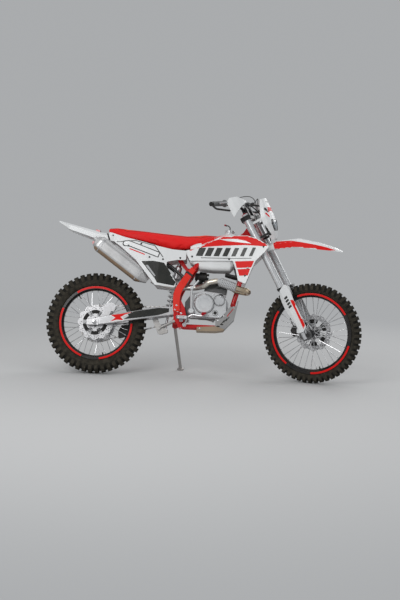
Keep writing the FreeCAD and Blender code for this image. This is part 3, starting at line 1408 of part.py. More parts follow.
def chassis():
    """Everything that neither turns nor steers."""
    made = {}
    made["frame"] = frame().multiFuse(stand_mount())
    made["swing_arm"] = swing_arm()
    made["rear_axle"] = clear(rear_axle(), made["swing_arm"])
    collars = [cross_rod(PIVOT_X, PIVOT_Z, min(s * ARM_FRONT_Y, s * (SPAR_Y - PIVOT_PLATE / 2)),
                         max(s * ARM_FRONT_Y, s * (SPAR_Y - PIVOT_PLATE / 2)), 17) for s in (-1, 1)]
    heads = [cross_rod(PIVOT_X, PIVOT_Z, min(s * (SPAR_Y + 17), s * (SPAR_Y + 5)),
                       max(s * (SPAR_Y + 17), s * (SPAR_Y + 5)), 15) for s in (-1, 1)]
    bolt = cross_rod(PIVOT_X, PIVOT_Z, -SPAR_Y - 17, SPAR_Y + 17, AXLE_RADIUS)
    made["pivot_bolt"] = clear(fused([bolt] + collars + heads), made["frame"], made["swing_arm"])
    made["subframe"] = clear(subframe(), made["frame"])
    room = cross_rod(PIVOT_X, PIVOT_Z, -200, 200, 19)
    made["frame_guards"] = clear(frame_guards(), made["frame"], made["subframe"], room)
    damper, reservoir = shock()
    made["shock_linkage"] = clear(linkage(), made["swing_arm"], made["frame"])
    made["shock"] = clear(Part.makeCompound([fused([damper, reservoir])]), made["frame"], made["shock_linkage"],
                          made["swing_arm"])
    made["engine_cases"] = clear(engine_cases(), made["frame"], made["swing_arm"])
    made["engine_covers"] = clear(engine_covers(), made["engine_cases"], made["frame"])
    made["cylinder"] = clear(cylinder(), made["engine_cases"])
    made["intake"] = clear(intake(), made["cylinder"], made["engine_cases"], made["frame"])
    made["silencer"] = clear(silencer(), made["subframe"])
    made["header_pipe"] = biggest(clear(header_pipe(), made["cylinder"], made["silencer"], made["frame"],
                                        made["engine_cases"]))
    made["radiators"] = clear(radiators(), made["frame"])
    made["seat"] = clear(seat(), made["subframe"])
    tank = clear(fuel_tank(), tank_tunnel(), made["seat"], made["frame"], spar_tube(2), mirrored(spar_tube(2)),
                 made["subframe"], made["radiators"])
    made["fuel_tank"] = tank
    made["fuel_cap"] = clear(fuel_cap(), made["fuel_tank"])
    side, tab = shrouds()
    posts = posts_to(*SHROUD_PLAN, 600, 1000, ((700, 850), (884, 930), (884, 830)), -90)
    side = clear(fused([side, tab] + posts), made["fuel_tank"], made["radiators"], made["seat"])
    made["shrouds"] = both_sides(side)
    right = clear(side_panel(-1), made["subframe"], made["seat"], made["silencer"], side)
    left = clear(mirrored(side_panel(1)), made["subframe"], made["seat"], mirrored(side))
    made["side_panels"] = Part.makeCompound([right, left])
    made["rear_fender"] = clear(rear_fender(), made["seat"], made["subframe"], made["silencer"], right, left)
    made["tail_light"] = clear(tail_light(), made["rear_fender"])
    made["skid_plate"] = clear(skid_plate(), made["frame"], made["engine_cases"])
    made["foot_pegs"] = clear(foot_pegs(), made["frame"])
    made["brake_pedal"] = clear(brake_pedal(), made["frame"], made["foot_pegs"], made["skid_plate"])
    made["gear_lever"] = clear(gear_lever(), made["engine_cases"], made["engine_covers"])
    made["kick_starter"] = clear(kick_starter(), made["engine_covers"])
    made["rear_caliper"] = clear(rear_caliper(), made["rear_axle"], made["swing_arm"])
    made["chain"] = drive_chain()
    made["chain_guide"] = clear(chain_guide(), made["swing_arm"])
    made["front_sprocket"] = clear(front_sprocket(), made["engine_cases"])
    return made


def steering():
    """Everything that turns with the bars, in the fork's axes."""
    made = {}
    made["fork_tubes"] = both_sides(fork_tube())
    made["handlebar"] = handlebar()
    made["fork_clamps"] = clear(fork_clamps(), made["handlebar"])
    made["fork_sliders"] = both_sides(clear(fork_slider(), fork_tube()))
    made["front_axle"] = clear(front_axle(), made["fork_sliders"])
    made["fork_guards"] = clear(both_sides(fork_guard()), made["fork_sliders"], made["fork_tubes"])
    made["grips"] = grips()
    made["controls"] = clear(controls(), made["handlebar"], made["grips"])
    made["hand_guards"] = clear(hand_guards(), made["handlebar"], made["grips"], made["controls"])
    shell, arms = number_mask()
    mask = fused([shell] + arms + [mirrored(a) for a in arms])
    made["number_mask"] = clear(mask, made["fork_tubes"], made["fork_clamps"])
    made["headlight"] = clear(headlight(), made["number_mask"])
    fender = moved(front_fender(), fork_frame().inverse())
    made["front_fender"] = clear(fender, made["fork_clamps"], made["fork_tubes"])
    made["front_caliper"] = clear(front_caliper(), made["fork_sliders"], made["fork_guards"])
    made["brake_hose"] = clear(brake_hose(), made["front_caliper"], made["fork_sliders"], made["fork_guards"],
                               made["fork_tubes"], made["fork_clamps"], made["number_mask"], made["controls"],
                               made["front_fender"])
    return made


def lowest_angle(place):
    """Angle of a posed wheel's lowest point from straight ahead, in degrees."""
    down = place.Rotation.inverted().multVec(-UP)
    return math.degrees(math.atan2(down.z, down.x))


def wheel(prefix, place):
    """One wheel's pieces round its axle at the origin, place being where it then stands."""
    if prefix == "rear":
        radius, width, rim_radius = REAR_RADIUS, REAR_TYRE_WIDTH, REAR_RIM_RADIUS
        rim_width, rim_depth = REAR_RIM_WIDTH, REAR_RIM_DEPTH
        flange, half, disc_radius, disc_y = REAR_HUB_FLANGE, REAR_HUB_HALF, REAR_DISC_RADIUS, REAR_DISC_Y
    else:
        radius, width, rim_radius = FRONT_RADIUS, FRONT_TYRE_WIDTH, FRONT_RIM_RADIUS
        rim_width, rim_depth = FRONT_RIM_WIDTH, FRONT_RIM_DEPTH
        flange, half, disc_radius, disc_y = FRONT_HUB_FLANGE, FRONT_HUB_HALF, FRONT_DISC_RADIUS, FRONT_DISC_Y
    made = {
        prefix + "_tyre": tyre(radius, width, rim_radius, rim_width, lowest_angle(place)),
        prefix + "_rim": rim(rim_radius, rim_width, rim_depth),
        prefix + "_disc": brake_disc(disc_radius, disc_y, 40),
    }
    bars = spokes(flange, half, rim_radius - rim_depth, 5)
    core = hub(flange, half, disc_y, prefix == "rear")
    made[prefix + "_hub"] = fused([core] + bars)
    if prefix == "rear":
        made["rear_sprocket"] = rear_sprocket()
    return made


def rest_nodes():
    """Every piece by name, posed as the bike stands, with the shift that centres it."""
    lean = rest_lean()
    steer = steer_turn()
    rear = lean.multiply(Placement(Vector(0, 0, REAR_RADIUS), Rotation()))
    front = lean.multiply(steer).multiply(Placement(Vector(WHEELBASE, 0, FRONT_RADIUS), Rotation()))
    groups = (
        (lean, chassis()),
        (lean, {"side_stand": side_stand()}),
        (rear, wheel("rear", rear)),
        (lean.multiply(steer).multiply(fork_frame()), steering()),
        (front, wheel("front", front)),
    )
    nodes = {}
    for place, made in groups:
        for name, shape in made.items():
            nodes[name] = moved(shape, place)
    box = FreeCAD.BoundBox()
    for shape in nodes.values():
        box.add(shape.BoundBox)
    shift = Placement(Vector(-box.Center.x, -box.Center.y, 0), Rotation())
    return {name: moved(shape, shift) for name, shape in nodes.items()}, shift


def main():
    """Write every piece to its own file."""
    os.makedirs("parts", exist_ok=True)
    nodes, _ = rest_nodes()
    for name, shape in nodes.items():
        shape.exportStep("parts/%s.step" % name)
    print(len(nodes), "pieces")


if __name__ == "__main__":
    main()
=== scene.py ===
"""Visual model of a dirt bike that leans on its side stand, bars turned to the right.

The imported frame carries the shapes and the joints. This script dresses it: knobbly tyres, laced
wheels, a linked chain, a stuffed seat, plastics with their stickers, bolts, and every finish.
Sub-assemblies are drawn in millimetres in the axes of the upright bike (X forward from the rear
axle, Y to the rider's left, Z up) or of its fork, and a Place carries them to the row frame.
"""

from __future__ import annotations

import json
import logging
import math
from dataclasses import dataclass, field
from enum import Enum
from typing import Callable, Iterable, Sequence

import bmesh
import bpy
import numpy as np
from mathutils import Matrix, Vector
from mathutils.geometry import delaunay_2d_cdt

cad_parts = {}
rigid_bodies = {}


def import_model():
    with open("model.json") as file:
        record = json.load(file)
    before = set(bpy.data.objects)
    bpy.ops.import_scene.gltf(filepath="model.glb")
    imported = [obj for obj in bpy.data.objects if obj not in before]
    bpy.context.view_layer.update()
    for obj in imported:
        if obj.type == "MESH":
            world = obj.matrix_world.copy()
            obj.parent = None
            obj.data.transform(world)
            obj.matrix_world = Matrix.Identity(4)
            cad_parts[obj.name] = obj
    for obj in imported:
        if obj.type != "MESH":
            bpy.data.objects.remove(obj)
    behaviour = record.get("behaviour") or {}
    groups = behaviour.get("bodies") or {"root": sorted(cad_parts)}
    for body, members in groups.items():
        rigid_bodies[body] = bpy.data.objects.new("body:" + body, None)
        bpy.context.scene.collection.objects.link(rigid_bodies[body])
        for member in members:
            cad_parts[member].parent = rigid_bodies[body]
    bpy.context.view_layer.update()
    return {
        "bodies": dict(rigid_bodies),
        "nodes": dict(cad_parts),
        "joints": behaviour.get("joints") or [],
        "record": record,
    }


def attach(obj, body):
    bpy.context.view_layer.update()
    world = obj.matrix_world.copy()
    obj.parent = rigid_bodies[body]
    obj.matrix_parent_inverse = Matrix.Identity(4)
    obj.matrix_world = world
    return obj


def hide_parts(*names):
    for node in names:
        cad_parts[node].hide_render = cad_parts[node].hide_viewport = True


LOG = logging.getLogger("dirt_bike")
Array = np.ndarray
Faces = list[Array]
Surface = tuple[Array, Faces]
Rows = Sequence[Sequence[float]]
Piece = bpy.types.Object
Mesh = bpy.types.Mesh
Socket = bpy.types.NodeSocket
MM = 0.001
TINY = 1e-9


# Arrays


def unit(vectors: Sequence[float] | Array) -> Array:
    """Vectors along the last axis, brought to length one."""
    v = np.asarray(vectors, float)
    return v / np.linalg.norm(v, axis=-1, keepdims=True)


def around(count: int) -> Array:
    """Even angles round a full turn, the last one left out."""
    return np.linspace(0, 2 * math.pi, count, endpoint=False)


def at_y(flat: Rows | Array, y: float) -> Array:
    """Flat (x, z) points as points in space at one y."""
    return np.insert(np.asarray(flat, float), 1, y, axis=1)


def facing(directions: Sequence[float] | Array) -> Array:
    """Rotations that carry Y onto each direction: columns (x, direction, x cross direction)."""
    y = unit(np.atleast_2d(directions))
    x = unit(np.cross(y, np.where(np.abs(y[:, [2]]) < 0.9, [[0, 0, 1.0]], [[1.0, 0, 0]])))
    return np.stack([x, y, np.cross(x, y)], axis=2)


def read(mesh: Mesh) -> Array:
    """A mesh's points as an array."""
    points = np.zeros(len(mesh.vertices) * 3, np.float32)
    mesh.vertices.foreach_get("co", points)
    return points.reshape(-1, 3).astype(float)


def write(mesh: Mesh, points: Array) -> None:
    """Puts an array back as a mesh's points."""
    mesh.vertices.foreach_set("co", points.astype(np.float32).ravel())
    mesh.update()


def of_faces(mesh: Mesh, what: str) -> Array:
    """The center or the normal of each face of a mesh, as an array."""
    values = np.zeros(len(mesh.polygons) * 3, np.float32)
    mesh.polygons.foreach_get(what, values)
    return values.reshape(-1, 3).astype(float)


# Places


def turn_about(axis: Sequence[float], degrees: float) -> Array:
    """Rotation matrix about an axis, by Rodrigues' formula: cos I + sin K + (1 - cos) a a^T.

    Args:
        axis: direction of the axis.
        degrees: angle, right-handed.

    Returns:
        A 3 by 3 matrix.
    """
    a = unit(axis)
    skew = np.array([[0, -a[2], a[1]], [a[2], 0, -a[0]], [-a[1], a[0], 0]])
    angle = math.radians(degrees)
    return math.cos(angle) * np.eye(3) + math.sin(angle) * skew + (1 - math.cos(angle)) * np.outer(a, a)


@dataclass(frozen=True)
class Place:
    """Axes that a piece is drawn in: a turn and a move in millimetres, towards the row frame."""

    turn: Array
    move: Array

    def within(self, outer: "Place") -> "Place":
        """This place carried by another: outer.turn (turn p + move) + outer.move."""
        return Place(outer.turn @ self.turn, outer.turn @ self.move + outer.move)

    def to_row(self, points: Array) -> Array:
        """Millimetres here to metres of the row frame: (turn p + move) / 1000."""
        return (np.asarray(points, float) @ self.turn.T + self.move) * MM

    def from_row(self, points: Array) -> Array:
        """Metres of the row frame to millimetres here, the inverse of to_row."""
        return (np.asarray(points, float) / MM - self.move) @ self.turn


@dataclass(frozen=True)
class Stance:
    """How the bike stands: lean, pitch, the turn of its bars and where the row frame's origin lies."""

    wheelbase: float = 1481.0
    front_radius: float = 342.0
    rake: float = 28.5
    lean: float = -11.0
    pitch: float = -0.101883
    lift: float = 1.819468
    steer: float = -20.0
    axle_offset: float = 48.0
    origin: tuple[float, float] = (-731.35, -249.7384)

    def bike(self) -> Place:
        """Axes of the upright bike: leaned about X, pitched about Y, lifted onto its tyres."""
        turn = turn_about((0, 1, 0), self.pitch) @ turn_about((1, 0, 0), self.lean)
        return Place(turn, np.array([self.origin[0], self.origin[1], self.lift]))

    def fork_rest(self) -> Place:
        """The fork's axes on the upright bike, straight ahead: tipped back by the rake."""
        turn = turn_about((0, 1, 0), -self.rake)
        foot = np.array([self.wheelbase, 0, self.front_radius]) - turn @ np.array([self.axle_offset, 0, 0])
        return Place(turn, foot)

    def steered(self) -> Place:
        """Axes of the upright bike as they turn with the bars about the steering axis."""
        rest = self.fork_rest()
        turn = turn_about(rest.turn @ np.array([0, 0, 1.0]), self.steer)
        return Place(turn, rest.move - turn @ rest.move).within(self.bike())

    def fork(self) -> Place:
        """The fork's axes with the bars turned."""
        return self.fork_rest().within(self.steered())

    def wheel(self, front: bool) -> Place:
        """Axes of a wheel, centred on its axle."""
        if front:
            hub = Place(np.eye(3), np.array([self.wheelbase, 0, self.front_radius]))
            return hub.within(self.steered())
        return Place(np.eye(3), np.array([0, 0, 345.0])).within(self.bike())


STANCE = Stance()
BIKE = STANCE.bike()
FRONT = STANCE.steered()
FORK = STANCE.fork()


class Side(Enum):
    """Side of the bike, as the sign of Y."""

    RIGHT = -1
    LEFT = 1


# Surfaces


def grid_faces(rows: int, cols: int, wrap_rows: bool = False, wrap_cols: bool = True) -> Array:
    """Quads of a grid of rows by cols points: each cell joins (i, j), (i, j+1), (i+1, j+1), (i+1, j).

    Args:
        rows: points along the first parameter.
        cols: points along the second parameter.
        wrap_rows: whether the last row joins the first.
        wrap_cols: whether the last column joins the first.

    Returns:
        An array of quads of point numbers.
    """
    i = np.arange(rows if wrap_rows else rows - 1)[:, None]
    j = np.arange(cols if wrap_cols else cols - 1)[None, :]
    i_next, j_next = (i + 1) % rows, (j + 1) % cols
    cells = [i * cols + j, i * cols + j_next, i_next * cols + j_next, i_next * cols + j]
    return np.stack([c + 0 * (i + j) for c in cells], axis=-1).reshape(-1, 4)


def lathe(profile: Rows, segments: int = 48, closed: bool = False) -> Surface:
    """Surface of revolution round Y: p(t, angle) = (r cos, along, r sin) for each (along, r) of the profile.

    Args:
        profile: rows of (distance along Y, radius).
        segments: points round the axis.
        closed: whether the profile's last row joins its first.

    Returns:
        Points and faces.
    """
    rows = np.asarray(profile, float)
    angle = around(segments)
    radius, along = rows[:, 1][:, None], rows[:, 0][:, None]
    points = np.stack([radius * np.cos(angle), along + 0 * angle, radius * np.sin(angle)], axis=-1)
    return points.reshape(-1, 3), [grid_faces(len(rows), segments, closed, True)]


def along_axis(surface: Surface, base: Sequence[float], direction: Sequence[float]) -> Surface:
    """A surface drawn along Y, turned so that Y points in a direction, and moved to a base."""
    points, faces = surface
    return points @ facing(direction)[0].T + np.asarray(base, float), faces


def smooth_path(knots: Sequence[Sequence[float]], samples: int) -> Array:
    """A smooth curve through knots, by Catmull-Rom cubics: four basis polynomials of the local parameter."""
    p = np.asarray(knots, float)
    p = np.vstack([2 * p[0] - p[1], p, 2 * p[-1] - p[-2]])
    s = np.linspace(0, len(p) - 3 - 1e-9, samples)
    k = np.floor(s).astype(int)
    t = (s - k)[:, None]
    a, b, c, d = p[k], p[k + 1], p[k + 2], p[k + 3]
    return 0.5 * (2 * b + (c - a) * t + (2 * a - 5 * b + 4 * c - d) * t**2 + (3 * b - a - 3 * c + d) * t**3)


def sweep(path: Array, radius: float, sides: int = 12, wrap: bool = False) -> Surface:
    """A tube: p(s, angle) = path(s) + r (n cos + b sin), n and b square to the path, n nearest to one hint.

    Args:
        path: points along the middle of the tube.
        radius: the tube's radius.
        sides: points round the tube.
        wrap: whether the path closes on itself; if not, the tube's ends are closed.

    Returns:
        Points and faces.
    """
    path = np.asarray(path, float)
    radii = np.full(len(path), float(radius))
    if wrap:
        tangent = np.roll(path, -1, axis=0) - np.roll(path, 1, axis=0)
    else:
        tangent = np.gradient(path, axis=0)
        path = np.vstack([path[:1], path, path[-1:]])
        tangent = np.vstack([tangent[:1], tangent, tangent[-1:]])
        radii = np.concatenate([[0.0], radii, [0.0]])
    tangent = unit(tangent)
    hint = np.linalg.svd(tangent)[2][2] + TINY
    across = unit(np.cross(hint, tangent))
    third = np.cross(tangent, across)
    angle = around(sides)[None, :, None]
    ring = across[:, None] * np.cos(angle) + third[:, None] * np.sin(angle)
    points = path[:, None] + ring * radii[:, None, None]
    return points.reshape(-1, 3), [grid_faces(len(path), sides, wrap, True)]


def inset(outline: Array, distance: float) -> Array:
    """An outline with each corner moved inwards along the mean of its two sides' normals."""
    ahead = np.roll(outline, -1, axis=0) - outline
    back = outline - np.roll(outline, 1, axis=0)
    normals = [unit(np.stack([-v[:, 1], v[:, 0]], axis=1)) for v in (ahead, back)]
    mean = normals[0] + normals[1]
    mean = mean / np.maximum((mean * mean).sum(1, keepdims=True), 0.6) * 2
    area = np.cross(outline, np.roll(outline, -1, axis=0)).sum()
    return outline + mean * (distance if area > 0 else -distance)


def plate(outline: Rows, low: float, high: float, bevel: float = 0.6) -> Surface:
    """A flat plate with bevelled rims: four rings of the outline at (low, low + b, high - b, high) and two caps.

    Args:
        outline: corners as (x, z) rows.
        low: Y of one face.
        high: Y of the other face.
        bevel: width of the bevel.

    Returns:
        Points and faces.
    """
    rows = np.asarray(outline, float)
    inner = inset(rows, bevel)
    rings = [(inner, low), (rows, low + bevel), (rows, high - bevel), (inner, high)]
    return np.concatenate([at_y(ring, y) for ring, y in rings]), capped_rings(4, len(rows))


def capped_rings(rings: int, n: int) -> Faces:
    """Faces of rings of n points each: the walls between them and a cap on the first and the last."""
    return [grid_faces(rings, n), np.arange(n)[None, ::-1], np.arange((rings - 1) * n, rings * n)[None]]


def slab(low: Array, high: Array, triangles: Array) -> Surface:
    """A thin slab: the same triangles on two layers of points, and walls along their free edges."""
    n = len(low)
    edges = np.concatenate([triangles[:, [0, 1]], triangles[:, [1, 2]], triangles[:, [2, 0]]])
    _, index, number = np.unique(np.sort(edges, axis=1), axis=0, return_index=True, return_counts=True)
    rim = edges[index[number == 1]]
    wall = np.stack([rim[:, 0], rim[:, 1], rim[:, 1] + n, rim[:, 0] + n], axis=1)
    return np.vstack([low, high]), [triangles[:, ::-1], triangles + n, wall]


def sheet(grid: Array, back: Array, rows: int, cols: int) -> Surface:
    """An open grid of points with a second one close behind it that faces the other way."""
    front = grid_faces(rows, cols, False, False)
    return np.concatenate([grid, back]), [front, front[:, ::-1] + len(grid)]


def circle(radius: float, count: int, centre: tuple[float, float] = (0.0, 0.0), start: float = 0.0) -> Array:
    """Points on a circle: centre + r (cos, sin)."""
    angle = math.radians(start) + around(count)
    return np.stack([centre[0] + radius * np.cos(angle), centre[1] + radius * np.sin(angle)], axis=1)


def copies(surface: Surface, turns: Array, moves: Array) -> Surface:
    """Many copies of a surface in one: p_k = turn_k p + move_k, with the faces numbered on."""
    points, faces = surface
    many = np.einsum("kij,nj->kni", np.asarray(turns, float), points) + np.asarray(moves, float)[:, None]
    offsets = np.arange(len(many)) * len(points)
    shifted = [(f[None] + offsets[:, None, None]).reshape(-1, f.shape[1]) for f in faces]
    return many.reshape(-1, 3), shifted


def turns_to_z(angle: Array) -> Array:
    """Rotations about Y that carry X towards Z by each angle: [[cos, 0, -sin], [0, 1, 0], [sin, 0, cos]]."""
    c, s, o = np.cos(angle), np.sin(angle), 0 * angle
    return np.stack([c, o, -s, o, o + 1, o, s, o, c], axis=-1).reshape(-1, 3, 3)


def spins(count: int, phase: float = 0.0) -> Array:
    """Rotations about Y at even steps, the first one turned by a phase in degrees."""
    return turns_to_z(math.radians(phase) + around(count))


class Shape:
    """Surfaces gathered into one mesh, in millimetres of one place."""

    def __init__(self) -> None:
        """Starts with no surface."""
        self.points: list[Array] = []
        self.faces: Faces = []
        self.marks: list[int] = []
        self.count = 0

    def add(self, surface: Surface, mark: int = 0) -> "Shape":
        """Takes in a surface.

        Args:
            surface: points and faces.
            mark: number of the finish that its faces take.

        Returns:
            The shape itself.
        """
        points, faces = surface
        self.points.append(np.asarray(points, float))
        for group in faces:
            self.faces.append(np.asarray(group) + self.count)
            self.marks.append(mark)
        self.count += len(points)
        return self

    def make(
        self,
        name: str,
        place: Place,
        body: str,
        finishes: Sequence["Finish"],
        crease: float = 32.0,
        replaces: Sequence[str] = (),
    ) -> Piece:
        """Puts the shape into the scene at the origin, its place worked into its mesh.

        Args:
            name: the piece's name.
            place: axes that it is drawn in.
            body: the body that it rides on.
            finishes: its finishes, in the order of the marks.
            crease: angle in degrees above which an edge stays sharp.
            replaces: nodes that it stands for.

        Returns:
            The new object.
        """
        mesh = bpy.data.meshes.new(name)
        points = place.to_row(np.concatenate(self.points))
        polygons = [f for group in self.faces for f in group.tolist()]
        marks = np.concatenate([np.full(len(g), m) for g, m in zip(self.faces, self.marks)])
        mesh.from_pydata(points.tolist(), [], polygons)
        mesh.polygons.foreach_set("material_index", marks.astype(np.int32))
        tidy(mesh, crease)
        return show(mesh, name, body, finishes, replaces)


def tidy(mesh: Mesh, crease: float) -> None:
    """Merges a mesh's doubles, drops its empty faces, points its faces outwards and sets its creases."""
    work = bmesh.new()
    work.from_mesh(mesh)
    bmesh.ops.remove_doubles(work, verts=work.verts, dist=2e-6)
    bmesh.ops.dissolve_degenerate(work, edges=work.edges, dist=1e-6)
    bmesh.ops.recalc_face_normals(work, faces=work.faces)
    work.to_mesh(mesh)
    work.free()
    mesh.shade_smooth()
    mesh.set_sharp_from_angle(angle=math.radians(crease))


def linked(name: str, data: bpy.types.ID) -> Piece:
    """A new object, linked into the scene."""
    item = bpy.data.objects.new(name, data)
    bpy.context.collection.objects.link(item)
    return item


def show(
    mesh: Mesh, name: str, body: str, finishes: Sequence["Finish"], replaces: Sequence[str] = ()
) -> Piece:
    """Shows a finished mesh as a piece that rides on a body, and reports it."""
    piece = linked(name, mesh)
    for finish in finishes:
        mesh.materials.append(finish.material())
    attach(piece, body)
    if replaces:
        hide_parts(*replaces)
    LOG.info("piece %s: %d faces", name, len(mesh.polygons))
    return piece


# Skins: what a sticker or a bolt lies on

CHUNK = 200  # points looked up at once
EDGE = 1e-4  # how far past a triangle's edge a point still counts as on it, as a weight
STEEPEST = 0.35  # smallest share of a normal along the axis that a height is divided by
SEAM = 1e-6  # triangles of less flat area are seen edge on

class Skin:
    """Outer surface of some pieces seen square to one axis of a place, for laying things on it."""

    def __init__(self, objects: Sequence[Piece], place: Place, axis: int = 1) -> None:
        """Reads the pieces' triangles.

        Args:
            objects: the pieces that carry what is laid on.
            place: axes to work in.
            axis: number of the axis that is looked along.
        """
        self.place = place
        self.axis = axis
        self.flat = [i for i in range(3) if i != axis]
        self.corners = np.concatenate([self._triangles(o) for o in objects])

    def _triangles(self, obj: Piece) -> Array:
        """Triangles of one piece, in millimetres of the place."""
        mesh = obj.data
        mesh.calc_loop_triangles()
        index = np.zeros(len(mesh.loop_triangles) * 3, np.int32)
        mesh.loop_triangles.foreach_get("vertices", index)
        return self.place.from_row(read(mesh))[index].reshape(-1, 3, 3)

    def depth(self, flat: Array, side: int) -> tuple[Array, Array, Array]:
        """Outermost coordinate of the skin over each flat point, by barycentric weights in every triangle.

        Args:
            flat: points as rows of the two coordinates square to the axis.
            side: 1 for the highest coordinate along the axis, -1 for the lowest.

        Returns:
            The flat points, those off the skin drawn in to the nearest that lies on it, the coordinates, the normals.
        """
        a, b, c = (self.corners[:, i][:, self.flat] for i in range(3))
        level = self.corners[:, :, self.axis]
        area = np.cross(b - a, c - a)
        keep = np.abs(area) > SEAM
        a, b, c, level, area, solid = a[keep], b[keep], c[keep], level[keep], area[keep], self.corners[keep]
        normal = unit(np.cross(solid[:, 1] - solid[:, 0], solid[:, 2] - solid[:, 0]))
        found = np.full(len(flat), np.nan)
        normals = np.tile(np.eye(3)[self.axis] * side, (len(flat), 1))
        for start in range(0, len(flat), CHUNK):
            part = slice(start, start + CHUNK)
            p = flat[part, None]
            u = np.cross(p - a, c - a) / area
            v = np.cross(b - a, p - a) / area
            inside = (u >= -EDGE) & (v >= -EDGE) & (u + v <= 1 + EDGE)
            value = level[:, 0] + u * (level[:, 1] - level[:, 0]) + v * (level[:, 2] - level[:, 0])
            value = np.where(inside, value * side, -np.inf)
            best = value.argmax(1)
            top = value[np.arange(len(best)), best]
            hit = np.isfinite(top)
            found[part] = np.where(hit, top * side, np.nan)
            facing = normal[best] * np.sign(normal[best][:, [self.axis]] * side + 1e-12)
            normals[part][hit] = facing[hit]
        gaps = np.isnan(found)
        if gaps.all():
            raise ValueError("no skin lies under these points")
        if gaps.any():
            near = np.linalg.norm(flat[gaps][:, None] - flat[~gaps][None], axis=2).argmin(1)
            flat = flat.copy()
            flat[gaps], found[gaps], normals[gaps] = flat[~gaps][near], found[~gaps][near], normals[~gaps][near]
        return flat, found, normals

    def lift(self, flat: Array, side: int, height: float) -> Array:
        """Flat points laid on the skin and raised off it along its normal."""
        flat, level, normals = self.depth(flat, side)
        points = np.zeros((len(flat), 3))
        points[:, self.flat] = flat
        points[:, self.axis] = level
        slope = np.maximum(np.abs(normals[:, self.axis]), STEEPEST)
        points[:, self.axis] += side * height / slope
        return points


def inside_outline(points: Array, outline: Array) -> Array:
    """Which points lie inside an outline, by counting the sides that a ray crosses."""
    x, y = points[:, 0][:, None], points[:, 1][:, None]
    x1, y1 = outline[:, 0], outline[:, 1]
    x2, y2 = np.roll(x1, -1), np.roll(y1, -1)
    crosses = ((y1 > y) != (y2 > y)) & (x < (x2 - x1) * (y - y1) / (y2 - y1 + 1e-12) + x1)
    return crosses.sum(1) % 2 == 1


def round_corners(outline: Rows, radius: float, steps: int = 5) -> Array:
    """An outline with its corners rounded: each corner gives way to a quadratic curve between two cut points."""
    p = np.asarray(outline, float)
    back, ahead = np.roll(p, 1, axis=0) - p, np.roll(p, -1, axis=0) - p
    lengths = np.minimum(np.linalg.norm(back, axis=1), np.linalg.norm(ahead, axis=1))
    cut = np.minimum(radius, 0.45 * lengths)[:, None]
    start, end = p + unit(back) * cut, p + unit(ahead) * cut
    t = np.linspace(0, 1, steps)[None, :, None]
    curve = (1 - t) ** 2 * start[:, None] + 2 * t * (1 - t) * p[:, None] + t**2 * end[:, None]
    return curve.reshape(-1, 2)


def filled(outline: Array, spacing: float) -> tuple[Array, Array]:
    """Triangles that fill an outline, with even points along it and a grid of points inside.

    Args:
        outline: corners.
        spacing: distance between points.

    Returns:
        Flat points and triangles.
    """
    ahead = np.roll(outline, -1, axis=0)
    length = np.linalg.norm(ahead - outline, axis=1)
    parts = np.maximum(1, np.ceil(length / spacing)).astype(int)
    which = np.repeat(np.arange(len(outline)), parts)
    share = np.concatenate([np.arange(n) / n for n in parts])[:, None]
    rim = outline[which] * (1 - share) + ahead[which] * share
    low, high = outline.min(0), outline.max(0)
    u, v = np.meshgrid(np.arange(low[0], high[0], spacing), np.arange(low[1], high[1], spacing))
    inner = np.stack([u.ravel(), v.ravel()], axis=1)
    inner = inner[inside_outline(inner, outline)]
    if len(inner):
        gap = np.linalg.norm(inner[:, None] - rim[None], axis=2).min(1)
        inner = inner[gap > 0.45 * spacing]
    points = np.vstack([rim, inner])
    edges = [(i, (i + 1) % len(rim)) for i in range(len(rim))]
    result = delaunay_2d_cdt([Vector(p) for p in points], edges, [list(range(len(rim)))], 1, 1e-4)
    return np.array([list(v) for v in result[0]]), np.array([list(f) for f in result[2]])


@dataclass(frozen=True)
class Sticker:
    """A printed film on a panel: an outline laid on the panel's skin."""

    name: str
    outline: tuple[tuple[float, float], ...]
    corner: float = 3.0
    height: float = 0.5
    spacing: float = 8.0
    film: float = 0.3

    def lay(self, skin: Skin, side: Side, body: str, finish: "Finish") -> Piece:
        """Cuts the film and lays it on one side.

        Args:
            skin: what it lies on.
            side: the side of the bike.
            body: the body that it rides on.
            finish: the film's finish.

        Returns:
            The new piece.
        """
        outline = round_corners(self.outline, self.corner) if self.corner else np.asarray(self.outline, float)
        flat, triangles = filled(outline, self.spacing)
        low, high = (skin.lift(flat, side.value, h) for h in (self.height - self.film, self.height))
        shape = Shape().add(slab(low, high, triangles))
        return shape.make(f"{self.name}_{side.name.lower()}", skin.place, body, [finish], crease=50)


def lay_rows(rows: Sequence[tuple], skin: Skin, body: str) -> None:
    """Lays stickers on both sides, from rows of (finish, name, outline, corner, height and what else is not usual)."""
    for finish, *sticker in rows:
        for side in Side:
            Sticker(*sticker).lay(skin, side, body, finish)


def frame_node(name: str) -> Piece:
    """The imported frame's object of one node."""
    return FRAME["nodes"][name]


FRAME: dict = {}


# Finishes


